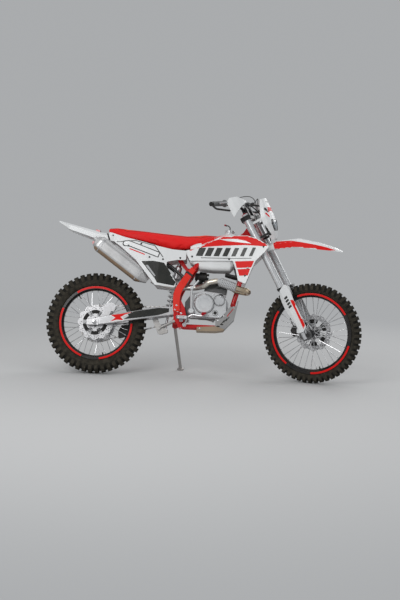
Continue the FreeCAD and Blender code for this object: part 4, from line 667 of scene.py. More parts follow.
class Nodes:
    """A node tree with short ways to add and join its nodes."""

    def __init__(self, tree: bpy.types.NodeTree) -> None:
        """Wraps a tree."""
        self.tree = tree

    def add(self, kind: str, inputs: dict | None = None, **settings: object) -> bpy.types.Node:
        """Adds a node, sets its properties and then its inputs, each to a value or from a socket."""
        node = self.tree.nodes.new(kind)
        for key, value in settings.items():
            setattr(node, key, value)
        for key, value in (inputs or {}).items():
            if isinstance(value, Socket):
                self.tree.links.new(value, node.inputs[key])
            else:
                node.inputs[key].default_value = value
        return node

    def where(self) -> Socket:
        """Object coordinates."""
        return self.add("ShaderNodeTexCoord").outputs["Object"]

    def part(self, vector: object, axis: int) -> Socket:
        """One coordinate of a vector."""
        return self.add("ShaderNodeSeparateXYZ", {0: vector}).outputs[axis]

    def vector(self, operation: str, first: object, second: object = (0, 0, 0)) -> Socket:
        """One step of arithmetic on two vectors; a length comes out as its value."""
        node = self.add("ShaderNodeVectorMath", {0: first, 1: second}, operation=operation)
        return node.outputs["Value" if operation == "LENGTH" else 0]

    def noise(self, where: object, scale: object, detail: object, **more: object) -> Socket:
        """Noise at some coordinates."""
        inputs = {"Vector": where, "Scale": scale, "Detail": detail, **more}
        return self.add("ShaderNodeTexNoise", inputs).outputs[0]

    def times(self, first: object, second: object, clamp: bool = False) -> Socket:
        """The product of two values or sockets."""
        return self.maths("MULTIPLY", first, second, clamp)

    def maths(self, operation: str, first: object, second: object = 0.0, clamp: bool = False) -> Socket:
        """One step of arithmetic on two values or sockets."""
        return self.add("ShaderNodeMath", {0: first, 1: second}, operation=operation, use_clamp=clamp).outputs[0]

    def shared(self, name: str, build: Callable[[], bpy.types.NodeTree], **inputs: object) -> bpy.types.NodeOutputs:
        """What a node group gives for some inputs; the group is made at its first use."""
        tree = bpy.data.node_groups.get(name) or build()
        return self.add("ShaderNodeGroup", inputs, node_tree=tree).outputs

    def blend(self, share: object, first: object, second: object) -> Socket:
        """A colour between two, by a share."""
        node = self.add("ShaderNodeMix", {0: share, 6: first, 7: second}, data_type="RGBA")
        return node.outputs[2]

    def ramp(self, value: object, stops: Sequence[tuple[float, tuple]]) -> Socket:
        """A colour ramp through (position, colour) stops."""
        node = self.add("ShaderNodeValToRGB", {0: value})
        items = node.color_ramp.elements
        while len(items) < len(stops):
            items.new(0.5)
        for item, (position, colour) in zip(items, stops):
            item.position = position
            item.color = (*colour, 1.0)
        return node.outputs[0]

    def span(self, value: object, low: float, high: float, to_low: float, to_high: float) -> Socket:
        """A value moved from one range to another, held at its ends."""
        return self.add("ShaderNodeMapRange", {0: value, 1: low, 2: high, 3: to_low, 4: to_high}).outputs[0]


def emptied(owner: bpy.types.Material | bpy.types.World) -> Nodes:
    """The nodes of a new material or world, none left in them."""
    owner.use_nodes = True
    owner.node_tree.nodes.clear()
    return Nodes(owner.node_tree)


def group(name: str, inputs: Sequence[tuple[str, str, object]], outputs: Sequence[tuple[str, str]]) -> tuple:
    """An empty shader node group with named sockets.

    Args:
        name: the group's name.
        inputs: rows of (name, kind, first value).
        outputs: rows of (name, kind).

    Returns:
        Its Nodes and what its input node gives.
    """
    tree = bpy.data.node_groups.new(name, "ShaderNodeTree")
    for label, kind, value in inputs:
        socket = tree.interface.new_socket(label, in_out="INPUT", socket_type=kind)
        socket.default_value = value
    for label, kind in outputs:
        tree.interface.new_socket(label, in_out="OUTPUT", socket_type=kind)
    nodes = Nodes(tree)
    return nodes, nodes.add("NodeGroupInput").outputs


COLOUR, VALUE, VECTOR = "NodeSocketColor", "NodeSocketFloat", "NodeSocketVector"


def grain_group() -> bpy.types.NodeTree:
    """Fine relief: layered noise on stretched object coordinates, as a height and as a broad mask."""
    nodes, given = group(
        "surface grain",
        [("Scale", VALUE, 100.0), ("Stretch", VECTOR, (1, 1, 1)), ("Detail", VALUE, 3.0)],
        [("Height", VALUE), ("Mask", VALUE)],
    )
    where = nodes.where()
    fine = nodes.noise(nodes.vector("MULTIPLY", where, given["Stretch"]), given["Scale"], given["Detail"])
    broad = nodes.span(nodes.noise(where, 9.0, 4.0), 0.3, 0.7, 0.0, 1.0)
    nodes.add("NodeGroupOutput", {"Height": fine, "Mask": broad})
    return nodes.tree


def dust_group() -> bpy.types.NodeTree:
    """Road dust: noise in patches, thicker on faces that look up and low on the bike."""
    nodes, given = group(
        "road dust",
        [("Colour", COLOUR, (0.5, 0.5, 0.5, 1)), ("Dust", COLOUR, (0.33, 0.27, 0.20, 1)), ("Amount", VALUE, 0.2)],
        [("Colour", COLOUR), ("Mask", VALUE)],
    )
    where = nodes.where()
    up = nodes.span(nodes.part(nodes.add("ShaderNodeNewGeometry").outputs["Normal"], 2), -0.2, 1.0, 0.45, 1.0)
    low = nodes.span(nodes.part(where, 2), 0.0, 1.0, 1.0, 0.35)
    cloud = nodes.span(nodes.noise(where, 14.0, 8.0, Roughness=0.62), 0.38, 0.72, 0.0, 1.0)
    grit = nodes.span(nodes.noise(where, 260.0, 2.0), 0.42, 0.62, 0.4, 1.0)
    mask = nodes.times(nodes.times(cloud, grit), nodes.times(up, low))
    mask = nodes.times(mask, given["Amount"], clamp=True)
    nodes.add("NodeGroupOutput", {"Colour": nodes.blend(mask, given["Colour"], given["Dust"]), "Mask": mask})
    return nodes.tree


def scuff_group() -> bpy.types.NodeTree:
    """Fine scuffs: two noises stretched in crossing directions, cut to thin lines, in broad patches."""
    nodes, given = group("scuffs", [("Amount", VALUE, 0.3), ("Scale", VALUE, 60.0)], [("Mask", VALUE)])
    where = nodes.where()
    lines = []
    for turn, stretch in (((0.3, 0.5, 0.2), (1.0, 0.2, 14.0)), ((0.1, -0.6, 0.9), (12.0, 0.4, 1.0))):
        spread = nodes.add("ShaderNodeMapping", {0: where, 2: turn, 3: stretch}).outputs[0]
        lines.append(nodes.span(nodes.noise(spread, given["Scale"], 2.0), 0.66, 0.72, 0.0, 1.0))
    patches = nodes.span(nodes.noise(where, 11.0, 3.0), 0.42, 0.62, 0.0, 1.0)
    mask = nodes.times(nodes.maths("MAXIMUM", *lines), patches)
    nodes.add("NodeGroupOutput", {"Mask": nodes.times(mask, given["Amount"], clamp=True)})
    return nodes.tree


class Grain(Enum):
    """Surface grains: noise scale per metre, stretch, detail and bump distance in metres."""

    GLOSS = (420.0, (1.0, 1.0, 1.0), 1.0, 0.00004)
    MOULDED = (900.0, (1.0, 1.0, 1.0), 2.0, 0.00012)
    CAST = (520.0, (1.0, 1.0, 1.0), 4.0, 0.00030)
    BRUSHED = (300.0, (1.0, 1.0, 16.0), 3.0, 0.00005)
    MACHINED = (700.0, (1.0, 1.0, 1.0), 1.0, 0.00003)
    RUBBER = (380.0, (1.0, 1.0, 1.0), 5.0, 0.00035)
    VINYL = (760.0, (1.0, 1.0, 1.0), 3.0, 0.00022)


class Pattern(Enum):
    """Larger patterns that a finish may carry."""

    NONE = "none"
    HEAT = "heat tint along the pipe"
    RINGS = "turning marks round an axle"
    RIBS = "grip ribs across the seat"
    # lightens a colour towards dry mud by the piece's own attribute; on the tyre it is real dust on the walls and
    # painted highlight on the lugs' tips
    DUST_AND_HIGHLIGHT = "worn and dusty by the piece's own wear attribute"


HEAT_STOPS = (
    (0.0, (0.56, 0.55, 0.54)), (0.45, (0.58, 0.55, 0.50)), (0.68, (0.57, 0.49, 0.37)),
    (0.82, (0.46, 0.35, 0.24)), (0.92, (0.40, 0.35, 0.33)), (1.0, (0.54, 0.49, 0.42)),
)
RINGS_PER_METRE = 5200.0  # as an angle in radians
# dry mud colour; on the tyre's lug tips it is painted highlight
MUD_AND_HIGHLIGHT = (0.068, 0.059, 0.043, 1.0)


@dataclass(frozen=True)
class Finish:
    """One finish: colour, shine, grain, dust and scuffs, built once as a material."""

    name: str
    slot: str
    colour: tuple[float, float, float]
    roughness: float
    metallic: float = 0.0
    coat: float = 0.0
    grain: Grain = Grain.GLOSS
    dust: float = 0.15
    scuff: float = 0.15
    vary: float = 0.10
    pattern: Pattern = Pattern.NONE
    centre: tuple[float, float, float] = (0.0, 0.0, 0.0)
    axis: tuple[float, float, float] = (0.0, 1.0, 0.0)
    clear: float = 0.0
    shine: float = 0.5

    def material(self) -> bpy.types.Material:
        """The finish's material, made at its first use."""
        made = bpy.data.materials.get(self.name)
        return made if made else self._build()

    def _build(self) -> bpy.types.Material:
        """Makes the material's nodes."""
        material = bpy.data.materials.new(self.name)
        nodes = emptied(material)
        scale, stretch, detail, distance = self.grain.value
        grain = nodes.shared("surface grain", grain_group, Scale=scale, Stretch=stretch, Detail=detail)
        tint, height = self._pattern(nodes, grain)
        dusty = nodes.shared("road dust", dust_group, Colour=tint, Amount=self.dust)
        scuffs = nodes.shared("scuffs", scuff_group, Amount=self.scuff)["Mask"]
        faded = (*(min(1.0, c * 0.8 + 0.10) for c in self.colour), 1.0)
        rough = nodes.span(grain["Mask"], 0.0, 1.0, max(0.03, self.roughness - 0.06), self.roughness + 0.06)
        rough = nodes.maths("ADD", rough, nodes.times(dusty["Mask"], 0.5))
        rough = nodes.maths("ADD", rough, nodes.times(scuffs, 0.25), clamp=True)
        bump = nodes.add("ShaderNodeBump", {"Height": height, "Strength": 0.6, "Distance": distance})
        shader = nodes.add("ShaderNodeBsdfPrincipled", {
            "Base Color": nodes.blend(scuffs, dusty["Colour"], faded),
            "Metallic": self.metallic,
            "Roughness": rough,
            "Normal": bump.outputs[0],
            "Coat Weight": self.coat,
            "Coat Roughness": 0.08,
            "Transmission Weight": self.clear,
            "Specular IOR Level": self.shine,
        })
        nodes.add("ShaderNodeOutputMaterial", {0: shader.outputs[0]})
        return material

    def _pattern(self, nodes: Nodes, grain: bpy.types.NodeOutputs) -> tuple:
        """Colour and height of the finish's own pattern.

        Args:
            nodes: the material's nodes.
            grain: what the grain group gives.

        Returns:
            The sockets of the colour and of the height.
        """
        deep = (*(c * (1 - self.vary * 2.2) for c in self.colour), 1.0)
        colour, height = nodes.blend(grain["Mask"], deep, (*self.colour, 1.0)), grain["Height"]
        where = nodes.where()
        if self.pattern is Pattern.HEAT:
            along = nodes.span(nodes.part(where, 0), -0.35, 0.33, 0.0, 0.86)
            warm = nodes.maths("ADD", along, nodes.span(nodes.noise(where, 18.0, 4.0), 0.3, 0.7, -0.1, 0.1))
            colour = nodes.ramp(warm, HEAT_STOPS)
        elif self.pattern is Pattern.RINGS:
            across = nodes.vector("CROSS_PRODUCT", nodes.vector("SUBTRACT", where, self.centre), self.axis)
            ring = nodes.maths("SINE", nodes.times(nodes.vector("LENGTH", across), RINGS_PER_METRE))
            height = nodes.maths("ADD", nodes.times(ring, 0.4), height)
            colour = nodes.blend(nodes.span(ring, -1.0, 1.0, 0.0, 0.35), colour, deep)
        elif self.pattern is Pattern.RIBS:
            cells = nodes.add("ShaderNodeTexVoronoi", {"Vector": where, "Scale": 210.0}).outputs["Distance"]
            dots = nodes.span(cells, 0.1, 0.5, 1.0, 0.0)
            height = nodes.maths("ADD", dots, nodes.times(height, 0.5))
            colour = nodes.blend(nodes.times(dots, 0.25), colour, deep)
        elif self.pattern is Pattern.DUST_AND_HIGHLIGHT:
            # the piece's attribute: real dust on the tyre's walls, painted highlight on its lug tips
            worn = nodes.add("ShaderNodeAttribute", attribute_name="dust_and_highlight").outputs["Fac"]
            patches = nodes.span(nodes.noise(where, 46.0, 6.0), 0.3, 0.68, 0.25, 1.0)
            colour = nodes.blend(nodes.times(worn, patches, clamp=True), colour, MUD_AND_HIGHLIGHT)
        return colour, height


WHITE = Finish(
    "gloss white plastic", "white_plastic", (0.72, 0.73, 0.73), 0.36, coat=0.08, dust=0.16, scuff=0.10,
    vary=0.02
)
RED_FILM = Finish(
    "red printed film", "guard_red", (0.72, 0.012, 0.010), 0.38, dust=0.03, vary=0.03, shine=0.12
)
DARK_FILM = Finish(
    "dark grey printed film", "black_plastic", (0.022, 0.024, 0.022), 0.30, dust=0.12, vary=0.05, shine=0.3
)
GREY_FILM = Finish("light grey printed film", "white_plastic", (0.40, 0.41, 0.42), 0.28, dust=0.15, vary=0.04)
WHITE_FILM = Finish(
    "white printed film", "white_plastic", (0.76, 0.77, 0.77), 0.25, coat=0.25, dust=0.12, vary=0.02
)
RED_PAINT = Finish(
    "red frame paint", "frame_red", (0.60, 0.008, 0.010), 0.22, coat=0.08, dust=0.14, vary=0.05, shine=0.3
)
RED_GUARD = Finish(
    "orange red moulded plastic", "guard_red", (0.74, 0.022, 0.010), 0.30, coat=0.04, dust=0.10, vary=0.04,
    shine=0.25
)
RED_ANODISED = Finish("red anodised metal", "guard_red", (0.55, 0.01, 0.02), 0.25, metallic=0.8, dust=0.2)
BLACK_PLASTIC = Finish(
    "black moulded plastic", "black_plastic", (0.014, 0.014, 0.014), 0.45, grain=Grain.MOULDED, dust=0.2,
    vary=0.06, shine=0.3
)
BLACK_METAL = Finish(
    "black painted metal", "satin_black", (0.016, 0.016, 0.017), 0.35, coat=0.05, dust=0.2, vary=0.06,
    shine=0.35
)
BLACK_RIM = Finish(
    "black rim paint", "black_rim", (0.008, 0.008, 0.009), 0.24, coat=0.1, dust=0.2, vary=0.04, shine=0.35
)
RUBBER_GREY = Finish(
    "grey grip rubber", "grip_rubber", (0.17, 0.175, 0.175), 0.62, grain=Grain.RUBBER, dust=0.2, scuff=0.0
)
RUBBER = Finish(
    "black rubber", "black_rubber", (0.020, 0.020, 0.020), 0.62, grain=Grain.RUBBER, dust=0.3, scuff=0.0
)
TYRE = Finish(
    "tyre rubber", "tyre_rubber", (0.007, 0.007, 0.006), 0.85, grain=Grain.RUBBER, dust=0.07, scuff=0.0,
    pattern=Pattern.DUST_AND_HIGHLIGHT, shine=0.2
)
SEAT_VINYL = Finish(
    "red seat vinyl", "seat_cover", (0.74, 0.010, 0.010), 0.55, grain=Grain.VINYL, dust=0.06, scuff=0.04,
    vary=0.03, shine=0.2
)
SEAT_RIBS = Finish(
    "red gripper vinyl", "seat_cover", (0.82, 0.030, 0.008), 0.60, grain=Grain.VINYL, dust=0.06, scuff=0.0,
    vary=0.03, pattern=Pattern.RIBS, shine=0.2
)
THREAD = Finish("dark stitching", "black_plastic", (0.05, 0.006, 0.006), 0.7, grain=Grain.RUBBER, scuff=0.0)
CAST_ALLOY = Finish(
    "cast engine alloy", "cast_aluminium", (0.50, 0.50, 0.51), 0.42, metallic=0.75, grain=Grain.CAST,
    dust=0.3, vary=0.06
)
COVER_ALLOY = Finish(
    "painted engine cover", "cast_aluminium", (0.56, 0.57, 0.58), 0.34, metallic=0.55, grain=Grain.CAST,
    dust=0.2, vary=0.04
)
FORK_ALLOY = Finish(
    "silver fork tube", "fork_silver", (0.68, 0.69, 0.70), 0.28, metallic=0.7, dust=0.08, vary=0.03
)
ARM_ALLOY = Finish(
    "brushed swing arm alloy", "brushed_aluminium", (0.58, 0.58, 0.59), 0.36, metallic=0.85,
    grain=Grain.BRUSHED, dust=0.3, vary=0.05
)
PLATE_ALLOY = Finish(
    "brushed skid plate", "plate_aluminium", (0.30, 0.30, 0.30), 0.42, metallic=0.75, grain=Grain.BRUSHED,
    dust=0.45, scuff=0.6
)
CAN_ALLOY = Finish(
    "brushed silencer alloy", "brushed_aluminium", (0.55, 0.55, 0.55), 0.40, metallic=0.7,
    grain=Grain.BRUSHED, dust=0.15, scuff=0.3
)
# dark cylinder alloy; on the barrel between the fins and on the rear and bottom of the engine cases it also serves as
# painted shade
DARK_ALLOY_AND_SHADE = Finish(
    "grey cylinder alloy", "dark_casting", (0.085, 0.086, 0.088), 0.5, metallic=0.5, grain=Grain.CAST,
    dust=0.25
)
STEEL = Finish(
    "bare steel", "bright_steel", (0.55, 0.55, 0.56), 0.32, metallic=0.95, grain=Grain.MACHINED, dust=0.25,
    vary=0.06
)
BRIGHT_STEEL = Finish(
    "bright steel", "bright_steel", (0.68, 0.68, 0.69), 0.22, metallic=1.0, grain=Grain.MACHINED, dust=0.12
)
HUB_ALLOY = Finish(
    "dark hub alloy", "hub_aluminium", (0.045, 0.046, 0.05), 0.34, metallic=0.7, grain=Grain.CAST, dust=0.3
)
STAND_STEEL = Finish(
    "worn stand steel", "bare_steel", (0.44, 0.43, 0.42), 0.42, metallic=0.85, grain=Grain.CAST, dust=0.4
)
CHAIN_STEEL = Finish(
    "oiled chain steel", "chain_steel", (0.24, 0.22, 0.19), 0.38, metallic=0.9, grain=Grain.MACHINED, dust=0.5
)
HEADER = Finish(
    "heat tinted header", "heated_steel", (0.58, 0.57, 0.56), 0.28, metallic=0.95, grain=Grain.MACHINED,
    dust=0.15, pattern=Pattern.HEAT
)
# dark fill laid in holes, slots and the disc's openings as painted shade
HOLE_SHADE = Finish("shadowed recess", "black_plastic", (0.008, 0.008, 0.008), 0.8, dust=0.1, scuff=0.0)
CAN_TINT = Finish("heat tinted can", "brushed_aluminium", (0.34, 0.24, 0.16), 0.42, metallic=0.6, dust=0.3)
FIN_ALLOY = Finish(
    "dull fin alloy", "dark_casting", (0.22, 0.22, 0.22), 0.45, metallic=0.6, grain=Grain.CAST, dust=0.2
)
PLATE_DUST = Finish(
    "dusty plate edge", "plate_aluminium", (0.34, 0.26, 0.18), 0.6, metallic=0.3, dust=0.4, scuff=0.3
)
LENS = Finish(
    "clear lamp lens", "lamp_glass", (0.80, 0.84, 0.88), 0.06, clear=0.85, dust=0.05, scuff=0.0, vary=0.0
)
REFLECTOR = Finish(
    "lamp reflector", "lamp_glass", (0.75, 0.76, 0.78), 0.12, metallic=1.0, dust=0.0, scuff=0.0
)
RED_LENS = Finish("red lamp lens", "red_lens", (0.50, 0.008, 0.006), 0.14, coat=0.6, dust=0.1, scuff=0.0)


def dress(name: str, finish: Finish, rules: Sequence[tuple] = ()) -> Piece:
    """Gives a frame node its finishes.

    Args:
        name: the node's name.
        finish: its main finish.
        rules: rows of (finish, place, low corner, high corner): faces whose middle lies in that box take that finish.

    Returns:
        The node's object.
    """
    node = frame_node(name)
    mesh = node.data
    mesh.materials.clear()
    mesh.materials.append(finish.material())
    if rules:
        middles = of_faces(mesh, "center")
        marks = np.zeros(len(middles), np.int32)
        for number, (other, place, low, high) in enumerate(rules, start=1):
            mesh.materials.append(other.material())
            where = place.from_row(middles)
            marks[np.all((where > low) & (where < high), axis=1)] = number
        mesh.polygons.foreach_set("material_index", marks)
    return node


# Fasteners


def bolt_head(radius: float, height: float) -> Surface:
    """A flanged hexagon head along Y: a lathe of the flange, then six-sided rings that narrow to a sunk top."""
    wide = radius * 1.35
    flange, flange_faces = lathe([(-1.0, 0.0), (-1.0, wide), (0.5, wide), (1.3, radius), (1.3, 0)], 18)
    rows = ((1.0, 1.0), (height - 0.8, 1.0), (height, 0.86), (height, 0.5), (height * 0.45, 0.42))
    head = np.concatenate([at_y(circle(radius * share, 6), y) for y, share in rows])
    n = len(flange)
    return np.vstack([flange, head]), flange_faces + [grid_faces(5, 6) + n, np.arange(24, 30)[None] + n]


def bolts(points: Array, directions: Array, radius: float, height: float) -> Surface:
    """Bolt heads at points, each standing along its direction."""
    return copies(bolt_head(radius, height), facing(np.asarray(directions, float)), points)


def bolts_on(skin: Skin, rows: Rows, side: Side, radius: float = 4.2, height: float = 3.4) -> Surface:
    """Bolt heads laid on a skin at flat points, square to its axis."""
    points = skin.lift(np.asarray(rows, float), side.value, 0.2)
    directions = np.tile(np.eye(3)[skin.axis] * side.value, (len(points), 1))
    return bolts(points, directions, radius, height)


# Wheels


TREAD_DROP = 0.26  # fall of the tread from its middle to its edge, as a share of the tyre's width


@dataclass
class Wheel:
    """A laced wheel with a knobbly tyre, drawn round its axle."""

    prefix: str
    radius: float
    width: float
    rim_radius: float
    rim_width: float
    rim_depth: float
    flange: float
    half: float
    disc_y: float
    disc_radius: float
    driven: bool
    arcs: tuple[tuple[float, float], ...]
    pitches: int = 46
    lug: float = 14.0
    place: Place = field(init=False)
    body: str = field(init=False)

    def __post_init__(self) -> None:
        """Works out the wheel's place and body from its name."""
        self.place = STANCE.wheel(self.prefix == "front")
        self.body = f"{self.prefix}_wheel"

    def crown(self, y: Array | float) -> Array:
        """Radius of the lugs' tips at a distance from the middle: straight runs through the outline's rows."""
        rows_y = np.array([0.0, 0.30, 0.66, 1.001]) * self.width / 2
        drops = np.array([0.0, 0.012, 0.080, TREAD_DROP]) * self.width
        return np.interp(np.abs(y), rows_y, self.radius - drops)

    def carcass(self) -> Surface:
        """The tyre without its lugs: a closed section turned round the axle, with rings moulded in its wall."""
        half, rim = self.width / 2, self.rim_radius
        wall, bead = self.radius - rim, self.rim_width / 2 - 5.4
        outer = [
            (bead, rim - 11.6),
            (bead, rim + 2.5),
            (half * 0.70, rim + 0.07 * wall),
            (half * 0.80, rim + 0.16 * wall),
            (half * 0.835, rim + 0.185 * wall),
            (half * 0.825, rim + 0.205 * wall),
            (half * 0.89, rim + 0.33 * wall),
            (half * 0.905, rim + 0.345 * wall),
            (half * 0.895, rim + 0.365 * wall),
            (half * 0.915, rim + 0.48 * wall),
            (half * 0.87, self.radius - 0.29 * self.width - self.lug * 0.3),
            (half * 0.68, self.radius - 0.11 * self.width - self.lug),
            (half * 0.40, self.radius - 0.03 * self.width - self.lug),
        ]
        top = [(0.0, self.radius - self.lug)]
        inner = [(half * 0.62, self.radius - self.lug - 14), (half * 0.72, rim + 0.45 * wall),
                 (self.rim_width / 2 - 14, rim - 6)]
        section = outer + top + [(-y, r) for y, r in reversed(outer)]
        section += [(-y, r) for y, r in reversed(inner)] + inner
        return lathe(section, 120, closed=True)

    def lug_row(
        self, section: Rows, half_s: float, phase: float, lean: float, count: int
    ) -> Surface:
        """One row of lugs: a section in (y, r) carried along s, its ends drawn in, and set round the tyre.

        Point (s, y, r) of lug k lies at angle (s + lean y) / R + (k + phase) 2 pi / count and at radius r.

        Args:
            section: corners of the lug across the tyre, as (y, radius).
            half_s: half the lug's length round the tyre.
            phase: share of the pitch by which the row is turned.
            lean: how far the lug slants, in length round the tyre for each unit across.
            count: lugs in the row.

        Returns:
            Points and faces.
        """
        rows = np.asarray(section, float)
        middle = rows.mean(0)
        levels = np.array([(-1.0, 0.86), (-0.90, 0.97), (0.90, 0.97), (1.0, 0.86)])
        rings = middle + (rows - middle)[None] * levels[:, 1][:, None, None]
        foot = rows[:, 1] < middle[1]
        rings[:, foot] = rows[foot]
        s = levels[:, 0][:, None] * half_s + lean * (rings[:, :, 0] - middle[0])
        step = (np.arange(count) + phase) * 2 * math.pi / count
        angle = s.ravel() / self.radius + step[:, None]
        y, radius = rings[:, :, 0].ravel(), rings[:, :, 1].ravel()
        points = np.stack([radius * np.cos(angle), y + 0 * angle, radius * np.sin(angle)], axis=-1)
        offsets = np.arange(count)[:, None, None] * 4 * len(rows)
        faces = [(f[None] + offsets).reshape(-1, f.shape[1]) for f in capped_rings(4, len(rows))]
        return points.reshape(-1, 3), faces

    def block(self, low: float, high: float, depth: float) -> list[tuple[float, float]]:
        """Section of a block between two shares of the half width, its top on the crown, its foot a depth below."""
        half = self.width / 2
        top = [(y * half, float(self.crown(y * half))) for y in (low, (low + high) / 2, high)]
        sink = 0.02 * half * math.copysign(1.0, high - low)
        return [(top[0][0] - sink, top[0][1] - depth)] + top + [(top[2][0] + sink, top[2][1] - depth)]

    def shoulder(self, side: int) -> list[tuple[float, float]]:
        """Section of a shoulder lug: from the crown over the tread's edge and far down the wall."""
        half, edge = self.width / 2, self.radius - TREAD_DROP * self.width
        top, foot = float(self.crown(0.66 * half)), edge - 0.24 * self.width
        rows = [(0.62, top - self.lug - 3), (0.66, top), (0.84, float(self.crown(0.84 * half)) + 0.6),
                (0.985, edge + 1.0), (0.985, edge - 5.0), (0.95, foot), (0.80, foot - 2)]
        return [(side * y * half, r) for y, r in rows]

    def tyre(self) -> None:
        """The tyre: carcass, centre blocks, the pairs between and the long shoulder lugs."""
        step = math.pi * self.radius / self.pitches
        shape = Shape().add(self.carcass())
        for section, half_s, phase, lean, count in (
            (self.block(-0.30, 0.30, self.lug + 3), step * 0.62, 0.0, 0.0, self.pitches // 2),
            (self.block(0.14, 0.60, self.lug + 4), step * 0.58, 0.5, 0.10, self.pitches // 2),
            (self.block(-0.14, -0.60, self.lug + 4), step * 0.58, 0.5, -0.10, self.pitches // 2),
            (self.shoulder(1), step * 0.56, 0.0, -0.08, self.pitches),
            (self.shoulder(-1), step * 0.56, 0.0, 0.08, self.pitches),
        ):
            shape.add(self.lug_row(section, half_s, phase, lean, count))
        piece = shape.make(f"{self.prefix}_tyre_dressed", self.place, self.body, [TYRE], 30, [f"{self.prefix}_tyre"])
        self.dust_and_highlight(piece)

    def dust_and_highlight(self, piece: Piece) -> None:
        """Writes how far each point of the tyre takes the dry mud colour: little between the lugs, which keep the
        tyre's black, more on the lugs' tips as painted highlight, and real dust on the walls and on their outer band.
        """
        local = self.place.from_row(read(piece.data))
        reach = np.hypot(local[:, 0], local[:, 2])
        tips = np.clip((reach - self.crown(local[:, 1]) + 0.7 * self.lug) / (0.7 * self.lug), 0, 1)
        across = np.abs(local[:, 1]) / (self.width / 2)
        edge = self.radius - TREAD_DROP * self.width
        wall = np.clip((edge - 0.22 * self.width - reach) / 5 + 0.5, 0, 1) * 0.62
        rib = np.where((across > 0.925) & (reach > edge - 0.25 * self.width), 0.72, 0.0)
        attribute = piece.data.attributes.new("dust_and_highlight", "FLOAT", "POINT")
        share = np.clip(np.maximum.reduce([0.10 + 0.45 * tips, wall, rib]), 0, 1)
        attribute.data.foreach_set("value", share.astype(np.float32))

    def spoke(self, number: int) -> tuple[Array, Array]:
        """A spoke's straight run: from its foot by the flange's edge to the rim's bed."""
        side = 1 if number % 2 else -1
        lead = 1 if (number // 2) % 2 else -1
        at_rim = math.radians(10.0 * number)
        at_hub = at_rim + lead * math.radians(62.0)
        hub_r, bed_r = self.flange - 5, self.rim_radius - self.rim_depth
        foot = np.array([hub_r * math.cos(at_hub), side * (self.half - 3), hub_r * math.sin(at_hub)])
        bed = np.array([bed_r * math.cos(at_rim), side * 5.0, bed_r * math.sin(at_rim)])
        return foot, bed

    def laced(self) -> None:
        """Spokes and nipples: four patterns of spoke, each copied nine times round the axle."""
        wires, ends = Shape(), Shape()
        turns, still = spins(9), np.zeros((9, 3))
        nipple = lathe([(0, 0), (0, 2.9), (3, 3.5), (5, 3.5), (11, 3.2), (14, 2.4), (14, 0)], 8)
        for number in range(4):
            foot, bed = self.spoke(number)
            wire = sweep(foot + (bed - foot) * np.linspace(0, 1, 5)[:, None], 2.2, 8)
            wires.add(copies(wire, turns, still))
            ends.add(copies(along_axis(nipple, bed, foot - bed), turns, still))
        wires.make(f"{self.prefix}_spokes", self.place, self.body, [BRIGHT_STEEL])
        ends.make(f"{self.prefix}_nipples", self.place, self.body, [STEEL])

    def hub(self) -> None:
        """The hub as a spool with flanges, seats for disc and sprocket, and bearing seals."""
        half, flange, waist = self.half, self.flange, self.flange * 0.66
        spool = [(half - 8, waist), (half - 6, flange - 1.2), (half - 4.6, flange), (half - 0.8, flange)]

        def seated(seat: float, nose: float) -> list[tuple[float, float]]:
            """A side that carries a disc or a sprocket on a seat and ends in a nose with its bearing's seal."""
            end = seat + nose
            return spool + [(half + 3, 38.5), (half + 4.5, 40), (seat, 40), (seat, 24), (end, 24), (end + 2, 22.5),
                            (end + 2, 19), (end + 0.5, 19), (end + 0.5, 10.4)]

        bare = spool + [(half + 3, 27), (half + 5, 26), (half + 12.5, 26), (half + 14, 24.5), (half + 14, 19),
                        (half + 12.5, 19), (half + 12.5, 10.4)]
        disc_side = seated(abs(self.disc_y) - 2.0, 14.0)
        other = seated(64.0, 12.0) if self.driven else bare
        left, right = (disc_side, other) if self.disc_y > 0 else (other, disc_side)
        profile = [(-y, r) for y, r in reversed(right)] + [(-12, waist * 0.93), (12, waist * 0.93)] + left
        shape = Shape().add(lathe(profile, 64, closed=True))
        shape.make(f"{self.prefix}_hub_dressed", self.place, self.body, [HUB_ALLOY], 30, [f"{self.prefix}_hub"])

    def fixings(self) -> None:
        """Bolts of the disc, and of the sprocket on the driven wheel, on circles round the axle."""
        shape = Shape()
        side = math.copysign(1.0, self.disc_y)
        ring = circle(32.0, 6, start=30)
        shape.add(bolts(at_y(ring, self.disc_y + side * 2.0), np.tile([0, side, 0], (6, 1)), 3.4, 3.2))
        if self.driven:
            shape.add(bolts(at_y(ring, 70.0), np.tile([0, 1.0, 0], (6, 1)), 3.8, 3.6))
        shape.make(f"{self.prefix}_disc_bolts", self.place, self.body, [BLACK_METAL])

    def openings(self) -> None:
        """Painted shade in the openings between the disc's arms and in the drilled holes of its band: dark plates a
        little proud of both faces.
        """
        shape = Shape()
        low, high = self.disc_radius * 0.50, self.disc_radius * 0.71
        sector = np.radians(np.linspace(-19, 19, 9))[:, None]
        edge = np.hstack([np.cos(sector), np.sin(sector)])
        outline = round_corners(np.concatenate([edge * low, edge[::-1] * high]), 3.0, 3)
        window = plate(outline, -2.75, 2.75, 0.2)
        shape.add(copies(window, spins(6, 30), np.tile([0, self.disc_y, 0], (6, 1))))
        hole = lathe([(-2.75, 0), (-2.75, 3.1), (2.75, 3.1), (2.75, 0)], 10)
        for share, phase in ((0.78, 0.0), (0.845, 7.5), (0.91, 15.0)):
            ring = circle(self.disc_radius * share, 12, start=phase)
            shape.add(copies(hole, np.tile(np.eye(3), (12, 1, 1)), at_y(ring, self.disc_y)))
        shape.make(f"{self.prefix}_disc_openings", self.place, self.body, [HOLE_SHADE])

